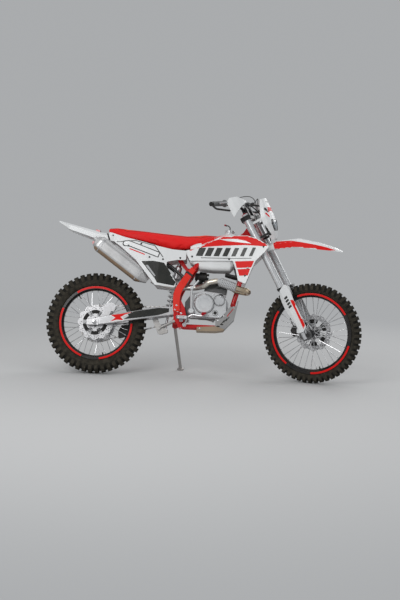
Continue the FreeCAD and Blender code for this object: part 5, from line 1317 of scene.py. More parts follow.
    def rim_tape(self) -> None:
        """Arcs of red tape on both flanks of the rim: a band between two radii, laid just off the flank's slope."""
        shape = Shape()
        half = self.rim_width / 2
        rows = np.array([(-14.2, 0.25), (-12.0, 0.35), (-1.6, 0.35), (-0.9, 0.1)]) + [self.rim_radius, 0]
        for start, end in self.arcs:
            angle = np.radians(np.linspace(start, end, max(8, int(abs(end - start) / 3))))
            radius, off = rows[:, 0][:, None], rows[:, 1][:, None] + half
            for side in (-1, 1):
                grid = np.stack([radius * np.cos(angle), side * (off + 0 * angle), radius * np.sin(angle)], axis=-1)
                grid = grid.reshape(-1, 3)
                shape.add(sheet(grid, grid - [0, side * 0.25, 0], len(rows), len(angle)))
        shape.make(f"{self.prefix}_rim_tape", self.place, self.body, [RED_FILM], 60)

    def valve(self) -> None:
        """The tube's valve stem, its nut and cap, and the rim lock's nut, on the rim's inner face."""
        bed = self.rim_radius - self.rim_depth
        shape = Shape()
        for angle, length, radius in ((125.0, 26.0, 3.2), (285.0, 16.0, 4.0)):
            a = math.radians(angle)
            out = np.array([math.cos(a), 0, math.sin(a)])
            stem = lathe([(0, 0), (0, radius + 3), (4, radius + 3), (4, radius), (length - 7, radius),
                          (length - 7, radius + 1), (length - 1, radius + 1), (length, radius - 1), (length, 0)], 12)
            shape.add(along_axis(stem, out * bed, -out))
        shape.make(f"{self.prefix}_valve", self.place, self.body, [BLACK_METAL])

    def build(self) -> None:
        """Builds and dresses the whole wheel."""
        dress(f"{self.prefix}_rim", BLACK_RIM)
        disc = Finish(
            f"{self.prefix} brake disc steel", "disc_steel", (0.56, 0.56, 0.57), 0.36, metallic=0.75, dust=0.06,
            grain=Grain.MACHINED, pattern=Pattern.RINGS, centre=tuple(self.place.move * MM),
            axis=tuple(self.place.turn[:, 1]),
        )
        dress(f"{self.prefix}_disc", disc)
        self.tyre()
        self.laced()
        self.hub()
        self.fixings()
        self.openings()
        self.rim_tape()
        self.valve()


# Drive


@dataclass
class Drive:
    """The chain's links, the sprockets and the chain guide."""

    pitch: float = 15.875
    rear_teeth: int = 50
    front_teeth: int = 13
    y: float = 67.0
    rear: tuple[float, float] = (0.0, 345.0)
    front: tuple[float, float] = (640.0, 452.0)

    def pitch_radius(self, teeth: int) -> float:
        """Radius of the chain's pins on a sprocket: pitch / (2 sin(pi / teeth))."""
        return self.pitch / (2 * math.sin(math.pi / teeth))

    def line(self, samples: int = 4000) -> Array:
        """The closed pitch line: an arc on each sprocket joined by the two outer tangents, sampled evenly in length."""
        big, small = self.pitch_radius(self.rear_teeth), self.pitch_radius(self.front_teeth)
        rear, front = np.array(self.rear), np.array(self.front)
        reach = np.linalg.norm(front - rear)
        slope = math.atan2(front[1] - rear[1], front[0] - rear[0])
        lean = math.acos((big - small) / reach)
        arc_front = np.linspace(slope + lean, slope - lean, 200)
        arc_rear = np.linspace(slope - lean, slope + lean - 2 * math.pi, 400)
        at_front = front + small * np.stack([np.cos(arc_front), np.sin(arc_front)], 1)
        at_rear = rear + big * np.stack([np.cos(arc_rear), np.sin(arc_rear)], 1)
        loop = np.vstack([at_front, at_rear, at_front[:1]])
        length = np.concatenate([[0], np.cumsum(np.linalg.norm(np.diff(loop, axis=0), axis=1))])
        even = np.linspace(0, length[-1], samples, endpoint=False)
        return np.stack([np.interp(even, length, loop[:, 0]), np.interp(even, length, loop[:, 1])], 1)

    def chain(self) -> None:
        """The chain: pins at even steps of the pitch line, rollers on them, inner and outer plates by turns."""
        line = self.line()
        total = np.linalg.norm(np.diff(np.vstack([line, line[:1]]), axis=0), axis=1).sum()
        count = int(round(total / self.pitch / 2)) * 2
        pins = line[(np.arange(count) * len(line) / count).astype(int)]
        ahead = np.roll(pins, -1, axis=0) - pins
        angle = np.arctan2(ahead[:, 1], ahead[:, 0])
        turns, moves = turns_to_z(angle), at_y(pins, self.y)
        step = total / count
        t = around(20)
        waist = np.stack([step / 2 + (step / 2 + 6.2 - 0.9 * np.sin(t) ** 6) * np.cos(t),
                          (6.4 - 1.5 * (np.abs(np.cos(t)) < 0.35)) * np.sin(t)], 1)
        links = Shape()
        for first, depth in ((0, 4.4), (1, 6.0)):
            for side in (-1, 1):
                low, high = sorted((side * depth, side * (depth + 1.4)))
                links.add(copies(plate(waist, low, high, 0.25), turns[first::2], moves[first::2]), first)
        roller = lathe([(-4.3, 0), (-4.3, 4.9), (4.3, 4.9), (4.3, 0)], 10)
        pin = lathe([(-7.9, 0), (-7.9, 1.6), (-7.4, 2.3), (7.4, 2.3), (7.9, 1.6), (7.9, 0)], 8)
        links.add(copies(roller, turns, moves), 1).add(copies(pin, turns, moves), 0)
        links.make("chain_links", BIKE, "chassis", [CHAIN_STEEL, STEEL], 30, ["chain"])

    def build(self) -> None:
        """Builds and dresses the drive."""
        self.chain()
        dress("rear_sprocket", STEEL)
        dress("front_sprocket", CHAIN_STEEL)
        dress("chain_guide", BLACK_PLASTIC)


# Bodywork


@dataclass
class Bodywork:
    """Plastics, seat and tank with their stickers, seams and screws."""

    body: str = "chassis"
    seat_cap: float = 0.009
    voxel: float = 0.005

    def shroud_stickers(self) -> None:
        """Red upper band with its pale stroke and blade, slanted dark bars, and red blocks on the lower wing."""
        skin = Skin([frame_node("shrouds")], BIKE)
        band = ((596, 868), (628, 874), (690, 894), (760, 930), (824, 964), (874, 974), (960, 979), (1014, 977),
                (1060, 965), (1102, 944), (1146, 908), (1118, 903), (1060, 907), (1000, 911), (930, 909), (858, 904),
                (785, 897), (724, 889), (660, 876), (630, 860))
        stroke = ((704, 893), (748, 920), (806, 943), (832, 950), (831, 954), (804, 948), (745, 926), (699, 899))
        blade = ((822, 946), (880, 952), (940, 952), (998, 940), (1040, 920), (990, 926), (930, 932), (876, 936))
        wing = ((932, 798), (1060, 802), (1043, 757), (946, 753))
        wing_low = ((951, 744), (1037, 748), (1022, 702), (965, 699))
        lay_rows((
            (RED_FILM, "shroud_band", band, 6.0),
            (WHITE_FILM, "shroud_stroke", stroke, 0.0, 0.8),
            (WHITE_FILM, "shroud_blade", blade, 7.0, 0.8),
            (RED_FILM, "shroud_wing", wing, 3.0, 1.0),
            (RED_FILM, "shroud_wing_low", wing_low, 3.0, 1.0),
        ), skin, self.body)
        for number in range(7):
            x, z, width, height = 664 + number * 60.0, 826 + number * 1.4, 46.0 - number * 4.0, 58 + number * 0.2
            bar = ((x, z), (x + width, z), (x + width + 24, z + height), (x + 24, z + height))
            lay_rows([(DARK_FILM, f"shroud_bar_{number}", bar, 2.0)], skin, self.body)
        line = ((700, 816), (1040, 822), (1043, 818), (702, 812))
        lay_rows([(DARK_FILM, "shroud_line", line, 1.0)], skin, self.body)

    def panel_stickers(self) -> None:
        """Dark lower film with its pale border, thin outlines above it, a short red dash and the tail's strap."""
        skin = Skin([frame_node("side_panels")], BIKE)
        lower = ((298, 770), (398, 652), (412, 626), (528, 612), (540, 638), (474, 738), (452, 766), (380, 776))
        border = ((288, 774), (394, 646), (408, 618), (532, 605), (547, 638), (478, 744), (456, 773), (382, 783))
        stripe = ((330, 742), (392, 668), (402, 672), (344, 746))
        seam = ((118, 902), (250, 916), (386, 884), (446, 806), (442, 803), (382, 880), (250, 911), (122, 898))
        dash = ((211, 852), (318, 814), (320, 821), (213, 859))
        wedge = ((166, 909), (202, 915), (424, 838), (412, 800), (384, 808), (214, 868), (172, 872), (160, 884))
        core = ((172, 903), (203, 909), (416, 834), (407, 806), (386, 814), (216, 874), (178, 878), (168, 887))
        lay_rows((
            (WHITE_FILM, "panel_border", border, 5.0),
            (DARK_FILM, "panel_lower", lower, 5.0, 0.8),
            (GREY_FILM, "panel_stripe", stripe, 2.0, 1.1),
            (DARK_FILM, "panel_seam", seam, 0.0),
            (RED_FILM, "panel_dash", dash, 1.0),
            (DARK_FILM, "panel_wedge", wedge, 3.0),
            (WHITE_FILM, "panel_wedge_core", core, 3.0, 0.8),
        ), skin, self.body)
        strap = ((46, 962), (56, 962), (78, 908), (66, 908))
        both = Skin([frame_node("side_panels"), frame_node("rear_fender")], BIKE)
        lay_rows([(BLACK_PLASTIC, "tail_strap", strap, 0.0, 1.2, 5.0)], both, self.body)

    def screws(self) -> None:
        """Panel screws, laid on the skins of the plastics."""
        shape = Shape()
        panels = Skin([frame_node("side_panels"), frame_node("shrouds")], BIKE)
        rows = ((92, 944), (204, 876), (290, 892), (352, 800), (444, 790), (560, 806), (640, 820), (1004, 700),
                (892, 812), (1120, 900))
        for side in Side:
            shape.add(bolts_on(panels, rows, side, 5.0, 3.0))
        shape.make("panel_screws", BIKE, self.body, [BLACK_METAL])

    def seat(self) -> None:
        """The seat: a stuffed form swollen by cloth pressure, then its gripper cover and seams."""
        node = frame_node("seat")
        mesh = node.data.copy()
        mesh.materials.clear()
        piece = linked("seat_cushion", mesh)
        merge(mesh)
        remesh(piece, self.voxel)
        local = BIKE.from_row(read(piece.data))
        x = local[:, 0]
        middle = np.stack([x, 0 * x, np.interp(x, *SEAT_CORE)], 1)
        local = middle + (local - middle) * SEAT_SHRINK - [0, 0, 1.0]
        write(piece.data, BIKE.to_row(local))
        swell(piece, self.seat_cap)
        finer(piece)
        form = BIKE.from_row(read(node.data))
        points = np.clip(BIKE.from_row(read(piece.data)), form.min(0) - [2, 4, 1], form.max(0) + [2, 4, 5])
        write(piece.data, BIKE.to_row(points))
        tidy(piece.data, 70)
        for finish in (SEAT_VINYL, SEAT_RIBS):
            piece.data.materials.append(finish.material())
        self.cover(piece)
        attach(piece, self.body)
        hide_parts("seat")
        self.seams(piece)

    def cover(self, piece: Piece) -> None:
        """Gives the seat's top the gripper finish: faces that look up, inside the sewn edge."""
        local = BIKE.from_row(of_faces(piece.data, "center"))
        up = (of_faces(piece.data, "normal") @ BIKE.turn)[:, 2]
        inside = np.abs(local[:, 1]) < np.interp(local[:, 0], *SEAT_EDGE)
        piece.data.polygons.foreach_set("material_index", (inside & (up > 0.5)).astype(np.int32))

    def seams(self, piece: Piece) -> None:
        """Sewn seams: thin cords laid along the top's two edges and across its joins."""
        skin = Skin([piece], BIKE, axis=2)
        shape = Shape()
        x = np.linspace(66, 800, 160)
        for side in (-1, 1):
            flat = np.stack([x, side * np.interp(x, *SEAT_EDGE)], 1)
            shape.add(sweep(skin.lift(flat, 1, 0.1), 1.3, 8))
        for station in (300.0, 560.0):
            y = np.linspace(-1, 1, 40) * np.interp(station, *SEAT_EDGE)
            shape.add(sweep(skin.lift(np.stack([station + 0 * y, y], 1), 1, 0.0), 1.0, 8))
        shape.make("seat_seams", BIKE, self.body, [THREAD])

    def tank(self) -> None:
        """Tank, filler cap and its vent with a red valve."""
        dress("fuel_tank", WHITE, [(RED_FILM, BIKE, (540, -170, 916), (842, 170, 1100))])
        dress("fuel_cap", COVER_ALLOY, [
            (RED_ANODISED, BIKE, (846, -12, 1050), (869, 8, 1075)), (RUBBER, BIKE, (858, -12, 1030), (900, 8, 1070)),
        ])

    def fender_stickers(self) -> None:
        """Red wedges on both flanks of the front fender."""
        skin = Skin([frame_node("front_fender")], FRONT)
        wedge = ((1226, 905), (1206, 962), (1280, 968), (1340, 972), (1409, 964), (1500, 950), (1575, 934), (1640, 914),
                 (1600, 911), (1516, 918), (1440, 922), (1377, 924), (1300, 912))
        lay_rows([(RED_FILM, "fender_wedge", wedge, 4.0, 1.1, 5.0)], skin, "steering")

    def build(self) -> None:
        """Builds and dresses the bodywork."""
        for name in ("shrouds", "side_panels", "rear_fender", "front_fender"):
            dress(name, WHITE)
        dress("tail_light", RED_LENS, [(BLACK_PLASTIC, BIKE, (-12, -40, 870), (4, 40, 995))])
        self.tank()
        self.seat()
        self.shroud_stickers()
        self.panel_stickers()
        self.fender_stickers()
        self.screws()


# rows of x, and of the seam's distance from the middle or of the height of the foam's core
SEAT_EDGE = ((54, 181, 291, 412, 510, 600, 685, 755, 818), (34, 50, 58, 64, 65, 61, 52, 41, 28))
SEAT_CORE = ((54, 300, 600, 818), (985, 950, 918, 976))
SEAT_SHRINK = np.array([1.0, 0.975, 0.93])


def merge(mesh: Mesh) -> None:
    """Merges a mesh's doubles."""
    work = bmesh.new()
    work.from_mesh(mesh)
    bmesh.ops.remove_doubles(work, verts=work.verts, dist=1e-5)
    work.to_mesh(mesh)
    work.free()


def settle(piece: Piece) -> None:
    """Works a piece's modifiers into its mesh."""
    graph = bpy.context.evaluated_depsgraph_get()
    mesh = bpy.data.meshes.new_from_object(piece.evaluated_get(graph))
    piece.modifiers.clear()
    piece.data = mesh


def remesh(piece: Piece, voxel: float) -> None:
    """Remeshes a piece with even voxels, which rounds its edges, and smooths it a little."""
    grid = piece.modifiers.new("voxels", "REMESH")
    grid.mode = "VOXEL"
    grid.voxel_size = voxel
    smooth = piece.modifiers.new("smooth", "SMOOTH")
    smooth.factor = 0.5
    smooth.iterations = 10
    bpy.context.view_layer.update()
    settle(piece)


def finer(piece: Piece) -> None:
    """Subdivides a piece once, which evens out the marks of its voxels."""
    split = piece.modifiers.new("finer", "SUBSURF")
    split.levels = 1
    split.render_levels = 1
    settle(piece)


def swell(piece: Piece, cap: float) -> None:
    """Swells a stuffed piece by cloth pressure for 20 frames and holds each point within a cap of its rest.

    Args:
        piece: the piece.
        cap: farthest that a point may move, in metres.
    """
    rest = read(piece.data)
    cloth = piece.modifiers.new("stuffing", "CLOTH")
    cloth.settings.use_pressure = True
    cloth.settings.uniform_pressure_force = 4.0
    cloth.settings.quality = 4
    cloth.settings.effector_weights.gravity = 0.0
    scene = bpy.context.scene
    for frame in range(1, 21):
        scene.frame_set(frame)
    settle(piece)
    scene.frame_set(1)
    moved = read(piece.data) - rest
    length = np.linalg.norm(moved, axis=1, keepdims=True)
    write(piece.data, rest + moved * np.minimum(1.0, cap / np.maximum(length, 1e-9)))


# Frame, engine and exhaust


# centres of the engine's covers and of the swing arm's pivot, as (x, z) of the upright bike
CLUTCH, OIL_COVER, WATER_PUMP, GENERATOR = (736.0, 502.0), (838.0, 528.0), (814.0, 442.0), (756.0, 494.0)
PIVOT = (560.0, 452.0)
CAN_REAR, CAN_FRONT = np.array([31.0, -132, 862]), np.array([348.0, -104, 639])
RADIATOR, RADIATOR_SIDE, RADIATOR_LEAN = (992.0, 800.0), 88.0, 8.0
FIN_PITCH = 8.6


@dataclass
class Chassis:
    """Frame, swing arm, engine, exhaust, cooling and foot controls."""

    body: str = "chassis"
    case_half: float = 80.0

    def finishes(self) -> None:
        """Finishes of the frame's nodes."""
        rows = (
            ("frame", RED_PAINT), ("subframe", BLACK_METAL), ("swing_arm", ARM_ALLOY), ("rear_axle", STEEL),
            ("pivot_bolt", STEEL), ("shock_linkage", STAND_STEEL), ("engine_covers", COVER_ALLOY),
            ("intake", BLACK_PLASTIC), ("foot_pegs", STEEL), ("gear_lever", BRIGHT_STEEL),
            ("kick_starter", COVER_ALLOY), ("rear_caliper", CAST_ALLOY),
        )
        for name, finish in rows:
            dress(name, finish)
        tip = math.degrees(math.atan2(CAN_REAR[2] - CAN_FRONT[2], CAN_FRONT[0] - CAN_REAR[0]))
        rear = Place(turn_about((0, 1, 0), tip), CAN_REAR).within(BIKE)
        dress("silencer", CAN_ALLOY, [(CAN_TINT, rear, (-40, -90, -80), (345, 90, -34))])
        dress("header_pipe", HEADER, [(COVER_ALLOY, BIKE, (822, -190, 590), (946, -60, 700))])
        # The neck under the cylinder takes the cylinder's dark alloy; the dark rear and bottom of the cases are painted
        # shade, behind the frame's spars and above the skid plate.
        dress("engine_cases", CAST_ALLOY, [
            (DARK_ALLOY_AND_SHADE, BIKE, (715, -72, 579), (900, 72, 620)), (DARK_ALLOY_AND_SHADE, BIKE, (540, -90, 400), (672, 90, 640)),
            (DARK_ALLOY_AND_SHADE, BIKE, (540, -90, 300), (920, 90, 415)),
        ])
        dress("skid_plate", PLATE_ALLOY, [(PLATE_DUST, BIKE, (600, -170, 300), (900, 170, 347))])
        dress("brake_pedal", BRIGHT_STEEL, [(RED_ANODISED, BIKE, (716, -170, 420), (762, -140, 444))])
        dress("side_stand", STAND_STEEL, [(BLACK_METAL, BIKE, (540, 255, 270), (625, 330, 320))])

    def arm_stickers(self) -> None:
        """Dark panel along each arm and the red flame at its rear with pale edges."""
        skin = Skin([frame_node("swing_arm")], BIKE)
        dark = ((196, 372), (300, 388), (430, 412), (500, 436), (500, 462), (430, 462), (300, 436), (214, 418),
                (232, 396))
        flame = ((108, 352), (150, 366), (196, 366), (176, 386), (206, 404), (250, 424), (168, 406), (110, 396),
                 (142, 380))
        edge = ((100, 346), (150, 359), (210, 358), (188, 386), (214, 402), (270, 430), (166, 413), (100, 402),
                (130, 378))
        lay_rows((
            (DARK_FILM, "arm_panel", dark, 4.0),
            (WHITE_FILM, "arm_flame_edge", edge, 2.0),
            (RED_FILM, "arm_flame", flame, 2.0, 0.9),
        ), skin, self.body)

    def engine_bolts(self) -> None:
        """Cover and case bolts, ringed round each cover, with the clutch cover's raised ring, the filler plug and dark
        rings of painted shade round the covers.
        """
        covers = Skin([frame_node("engine_covers"), frame_node("engine_cases")], BIKE)
        right = [(674, 466), (676, 508), (684, 552), (742, 572), (800, 568), (850, 552), (874, 522), (876, 470),
                 (840, 418), (770, 422), (700, 424)]
        left = [(714, 440), (780, 430), (840, 428), (870, 460), (868, 520), (834, 556), (744, 562), (712, 540)]
        clutch, oil = circle(60, 6, CLUTCH, 15), circle(29, 3, OIL_COVER, 40)
        shape = Shape()
        shape.add(bolts_on(covers, right, Side.RIGHT)).add(bolts_on(covers, left, Side.LEFT))
        shape.add(bolts_on(covers, clutch, Side.RIGHT, 3.6)).add(bolts_on(covers, oil, Side.RIGHT, 3.2))
        shape.add(bolts_on(covers, circle(56, 5, GENERATOR, 20), Side.LEFT, 3.6))
        shape.make("engine_bolts", BIKE, self.body, [BRIGHT_STEEL])
        trim = Shape()
        for radius, width in ((44.0, 1.6), (34.0, 1.2)):
            rows = [(0, radius), (width, radius - 0.6), (width, radius - 2.6), (0, radius - 3.2)]
            trim.add(self.on_cover(lathe(rows, 64, closed=True), CLUTCH, 54))
        screen = lathe([(0, 12), (2.2, 11), (2.2, 6), (0.6, 5), (0.6, 0)], 32)
        trim.add(self.on_cover(screen, WATER_PUMP, 39), 1)
        # dark rings in the black finish round the clutch, oil and water pump covers: painted shade of the gaps round
        # them
        for radius, centre in ((66.4, CLUTCH), (36.4, OIL_COVER), (17.2, WATER_PUMP)):
            gap_shade_ring = lathe([(0, radius), (0.8, radius), (0.8, radius + 2.6), (0, radius + 2.6)], 72, closed=True)
            trim.add(self.on_cover(gap_shade_ring, centre, 31.9), 1)
        plug = lathe([(0, 0), (0, 15), (9, 15), (12, 12), (12, 0)], 12)
        trim.add(along_axis(plug, (846, -self.case_half - 20, 560), (0.1, -0.3, 1)), 1)
        trim.make("cover_trim", BIKE, self.body, [COVER_ALLOY, BLACK_PLASTIC])

    def on_cover(self, surface: Surface, centre: tuple[float, float], height: float) -> Surface:
        """A surface turned to stand off the right side of the cases, at a height above their face."""
        return along_axis(surface, (centre[0], -self.case_half - height, centre[1]), (0, -1, 0))

    def barrel(self) -> None:
        """The finned cylinder: thin plates round a barrel, stacked along its leaning axis. Barrel, head and fins are
        one dark casting; the fins are paler and the barrel and head a darker copy of it, painted shade between the
        fins.
        """
        base, lean = np.array([808.0, 0, 610]), turn_about((0, 1, 0), 6)
        upright = turn_about((1, 0, 0), 90)
        shape = Shape()
        # mark 0, the barrel and head, is the darker copy of the casting: painted shade between the fins; mark 1 is the
        # fins
        rows = [(58.0, 54.0, 0.0, 132.0, 0)]
        rows += [(72.5, 67.5, 4.0 + FIN_PITCH * k, 7.0 + FIN_PITCH * k, 1) for k in range(10)]
        rows += [(81.5, 70.5, -47.0 + FIN_PITCH * k, -44.0 + FIN_PITCH * k, 1) for k in range(6)]
        rows += [(70.0, 61.0, 92.0, 104.0, 0), (60.0, 52.0, 104.0, 130.0, 0)]
        for half_x, half_y, low, high, mark in rows:
            corners = [(-half_x, -half_y), (half_x, -half_y), (half_x, half_y), (-half_x, half_y)]
            points, faces = plate(round_corners(corners, 12), -high, -low, 0.5)
            shape.add((points @ upright.T @ lean.T + base, faces), mark)
        shape.make("cylinder_dressed", BIKE, self.body, [DARK_ALLOY_AND_SHADE, FIN_ALLOY], 30, ["cylinder"])

    def guards(self) -> None:
        """Moulded guards on the frame's spars: a strip along the spar, its rims rounded, with a black strap."""
        line = np.array([(655, 737), (600, 655), (552, 560), (552, 440)], float)
        path = smooth_path(line, 40)
        run = np.gradient(path, axis=0)
        normal = unit(np.stack([-run[:, 1], run[:, 0]], 1))
        half = np.interp(np.linspace(0, 1, len(path)), (0, 0.15, 0.6, 1), (17, 22, 25, 22))[:, None]
        shape = Shape()
        for side in (-1, 1):
            for part, grow, depths, bevel, mark in (
                (slice(None), 0.0, (102.5, 124.0), 2.5, 0),
                (slice(5, 8), 0.8, (101.5, 125.0), 0.8, 1),
            ):
                middle, off = path[part], normal[part] * (half[part] + grow)
                outline = np.concatenate([middle + off, (middle - off)[::-1]])
                shape.add(plate(outline, *sorted(side * depth for depth in depths), bevel), mark)
        shape.make("frame_guards_dressed", BIKE, self.body, [RED_GUARD, BLACK_PLASTIC], 40, ["frame_guards"])

    def frame_bolts(self) -> None:
        """Screws of the guards and the engine's mounts, and nut caps on the pivot and the rear axle."""
        skin = Skin([frame_node("frame_guards"), frame_node("frame")], BIKE)
        shape = Shape()
        for side in Side:
            shape.add(bolts_on(skin, ((552, 482), (541, 452), (565, 452)), side, 4.6, 3.4))
            shape.add(bolts_on(skin, ((560, 400), (596, 392), (584, 430)), side, 5.2, 4.0))
        nut = lathe([(0, 0), (0, 15), (5, 15), (6, 13), (6, 0)], 6)
        for side in (-1, 1):
            shape.add(along_axis(nut, (PIVOT[0], side * 112, PIVOT[1]), (0, side, 0)))
            shape.add(along_axis(nut, (0, side * 138, 345), (0, side, 0)))
        shape.make("frame_bolts", BIKE, self.body, [BRIGHT_STEEL])

    def exhaust(self) -> None:
        """Perforated shield rows, bands at the can's ends, its stamped recess and the pipe's clamp."""
        start, end = np.array([952.0, -114, 616]), np.array([818.0, -128, 659])
        axis = unit(end - start)
        u = unit(np.cross(axis, [0, 1.0, 0]))
        v = np.cross(axis, u)
        a, s = np.meshgrid(around(14), np.linspace(24, 108, 8))
        a = (a + (np.arange(8)[:, None] % 2) * math.pi / 14).ravel()
        out = np.cos(a)[:, None] * u + np.sin(a)[:, None] * v
        at = start + axis * s.ravel()[:, None] + out * 29.7
        # the shield's holes are dark discs of painted shade on its face
        hole = lathe([(0, 0), (0, 2.7), (0.5, 2.7), (0.5, 0)], 10)
        Shape().add(copies(hole, facing(out), at)).make("shield_hole_shade", BIKE, self.body, [HOLE_SHADE])
        run = unit(CAN_FRONT - CAN_REAR)
        can = Shape()
        for distance in (-8.0, 306.0):
            can.add(self.band(CAN_REAR + run * distance, run, 43.2, 57.2, 7.0))
        can.make("silencer_bands", BIKE, self.body, [STEEL])
        self.can_recess(CAN_REAR, run)
        clamp = lathe([(-9, 20.6), (-9, 23.4), (9, 23.4), (9, 20.6)], 40, closed=True)
        collar = Shape().add(along_axis(clamp, (392, -99, 641), (60, 8, -15)))
        collar.make("silencer_clamp", BIKE, self.body, [STEEL])

    def band(self, middle: Array, run: Array, half_y: float, half_z: float, width: float) -> Surface:
        """A flat band round the oval can: a rounded section (superellipse) swept a short way along the can."""
        across = unit(np.cross([0, 0, 1.0], run))
        up = np.cross(run, across)
        c, s = np.cos(around(72)), np.sin(around(72))
        shape = np.stack([np.sign(c) * np.abs(c) ** 0.72 * half_y, np.sign(s) * np.abs(s) ** 0.62 * half_z], 1)
        rings = []
        for offset, grow in ((-width / 2, -2.5), (-width / 2, 0.6), (width / 2, 0.6), (width / 2, -2.5)):
            scaled = shape * (1 + grow / 50)
            rings.append(middle + run * offset + scaled[:, :1] * across + scaled[:, 1:] * up)
        return np.concatenate(rings), [grid_faces(4, 72, True, True)]

    def can_recess(self, rear: Array, run: Array) -> None:
        """The shallow stamped panel on the can's side: a rounded outline laid on its skin."""
        skin = Skin([frame_node("silencer")], BIKE)
        up = np.array([-run[2], 0, run[0]]) / math.hypot(run[0], run[2])
        corners = []
        for s, t in ((70, -22), (286, -26), (300, 0), (286, 20), (92, 26), (60, 8)):
            point = rear + run * s + up * t
            corners.append((point[0], point[2]))
        Sticker("can_panel", tuple(corners), 12.0, 0.9, 10.0, 0.8).lay(skin, Side.RIGHT, self.body, CAN_ALLOY)

    def cooling(self) -> None:
        """Folded fins between the radiator's tubes, white louvres and rails, and the hoses to the cylinder."""
        fins, rules = Shape(), []
        turn = turn_about((0, 1, 0), RADIATOR_LEAN)
        grid = np.meshgrid(np.linspace(-80, 80, 54), np.linspace(-28.5, 28.5, 20), indexing="ij")
        h, y = (v.ravel() for v in grid)
        for side in (-1, 1):
            centre = np.array([RADIATOR[0], side * RADIATOR_SIDE, RADIATOR[1]])
            block = Place(turn, centre).within(BIKE)
            rules += [(WHITE, block, (19.5, -35, -86), (40, 35, 86)),
                      (WHITE, block, (13.8, -35.5, -106), (31, -30.5, 106)),
                      (WHITE, block, (13.8, 30.5, -106), (31, 35.5, 106))]
            for face in (-1, 1):
                wave = np.stack([np.full(len(y), face * 14.2), y, h + 1.2 * np.tile([1.0, -1.0], len(y) // 2)], axis=1)
                points, faces = sheet(wave, wave - [face, 0, 0], 54, 20)
                fins.add((points @ turn.T + centre, faces))
        dress("radiators", BLACK_METAL, rules)
        fins.make("radiator_fins", BIKE, self.body, [DARK_ALLOY_AND_SHADE], 20)
        hose = Shape()
        for side in (-1, 1):
            knots = [(980, side * 70, 712), (950, side * 62, 700), (912, side * 52, 706), (872, side * 44, 716)]
            hose.add(sweep(smooth_path(knots, 40), 10.0, 14))
        hose.make("coolant_hoses", BIKE, self.body, [RUBBER])

    def skid(self) -> None:
        """Cooling slots, slashes, dashes and screws of the skid plate, laid on its flanks."""
        skin = Skin([frame_node("skid_plate")], BIKE)
        # the cooling slots are dark stickers of painted shade, not holes through the plate
        for number, (x, z) in enumerate(((838, 352), (862, 366))):
            slot = ((x - 11, z - 4), (x + 11, z - 4), (x + 11, z + 4), (x - 11, z + 4))
            lay_rows([(HOLE_SHADE, f"skid_slot_{number}", slot, 4.0, 0.4, 5.0)], skin, self.body)
        for number in range(3):
            x, z = 893 + 12.0 * number, 425 + 16.0 * number
            upper = ((x, z), (x + 5, z - 3), (x + 26, z + 26), (x + 22, z + 29))
            low = tuple((a - 38 + 4 * number, b - 56 - 4 * number) for a, b in upper)
            lay_rows((
                (RED_PAINT, f"skid_slash_{number}", upper, 0.0, 0.4, 4.0),
                (DARK_FILM, f"skid_dash_{number}", low, 0.0, 0.4, 4.0),
            ), skin, self.body)
        shape = Shape()
        for side in Side:
            shape.add(bolts_on(skin, ((716, 332), (836, 392), (876, 424), (936, 484)), side, 4.6, 3.2))
        shape.make("skid_bolts", BIKE, self.body, [BRIGHT_STEEL])

    def shock(self) -> None:
        """Damper and spring: a helix of wire round the shaft, its perches, the body and the piggyback bottle."""
        low, high = np.array([474.0, 0, 318]), np.array([556.0, 0, 796])
        axis = unit(high - low)
        shape = Shape()
        body = [(0, 0), (0, 12), (22, 12), (24, 8), (96, 8), (96, 30), (104, 31), (108, 26), (110, 12), (330, 14),
                (352, 26), (362, 34), (378, 34), (382, 24), (440, 24), (452, 14), (484, 14), (485, 0)]
        shape.add(along_axis(lathe(body, 40), low, axis))
        turns = np.linspace(0, 8.0 * 2 * math.pi, 320)
        across = unit(np.cross(axis, [0, 1.0, 0]))
        third = np.cross(axis, across)
        along = 112 + np.linspace(0, 246, 320)
        coil = low + axis * along[:, None] + 28.0 * (np.cos(turns)[:, None] * across + np.sin(turns)[:, None] * third)
        shape.add(sweep(coil, 5.2, 10), 1)
        eye = lathe([(-16, 0), (-16, 15.5), (16, 15.5), (16, 0)], 32)
        for point in (low, high):
            shape.add(along_axis(eye, point, (0, 1, 0)))
        bottle = lathe([(0, 0), (0, 21), (5, 25.5), (34, 25.5), (36, 24), (40, 24), (42, 25.5), (110, 25.5), (116, 21),
                        (116, 0)], 40)
        shape.add(along_axis(bottle, np.array([586.0, 52, 642]), (40, 0, 100)), 2)
        shape.make("shock_dressed", BIKE, self.body, [STEEL, WHITE, BLACK_METAL], 30, ["shock"])

    def build(self) -> None:
        """Builds and dresses the chassis."""
        self.finishes()
        self.arm_stickers()
        self.engine_bolts()
        self.barrel()
        self.guards()
        self.frame_bolts()
        self.exhaust()
        self.cooling()
        self.skid()
        self.shock()


# Steering


# ends of the left grip's middle line, in the fork's axes
GRIP_START, GRIP_END = np.array([-10.0, 235, 1024]), np.array([-67.0, 400, 1045])


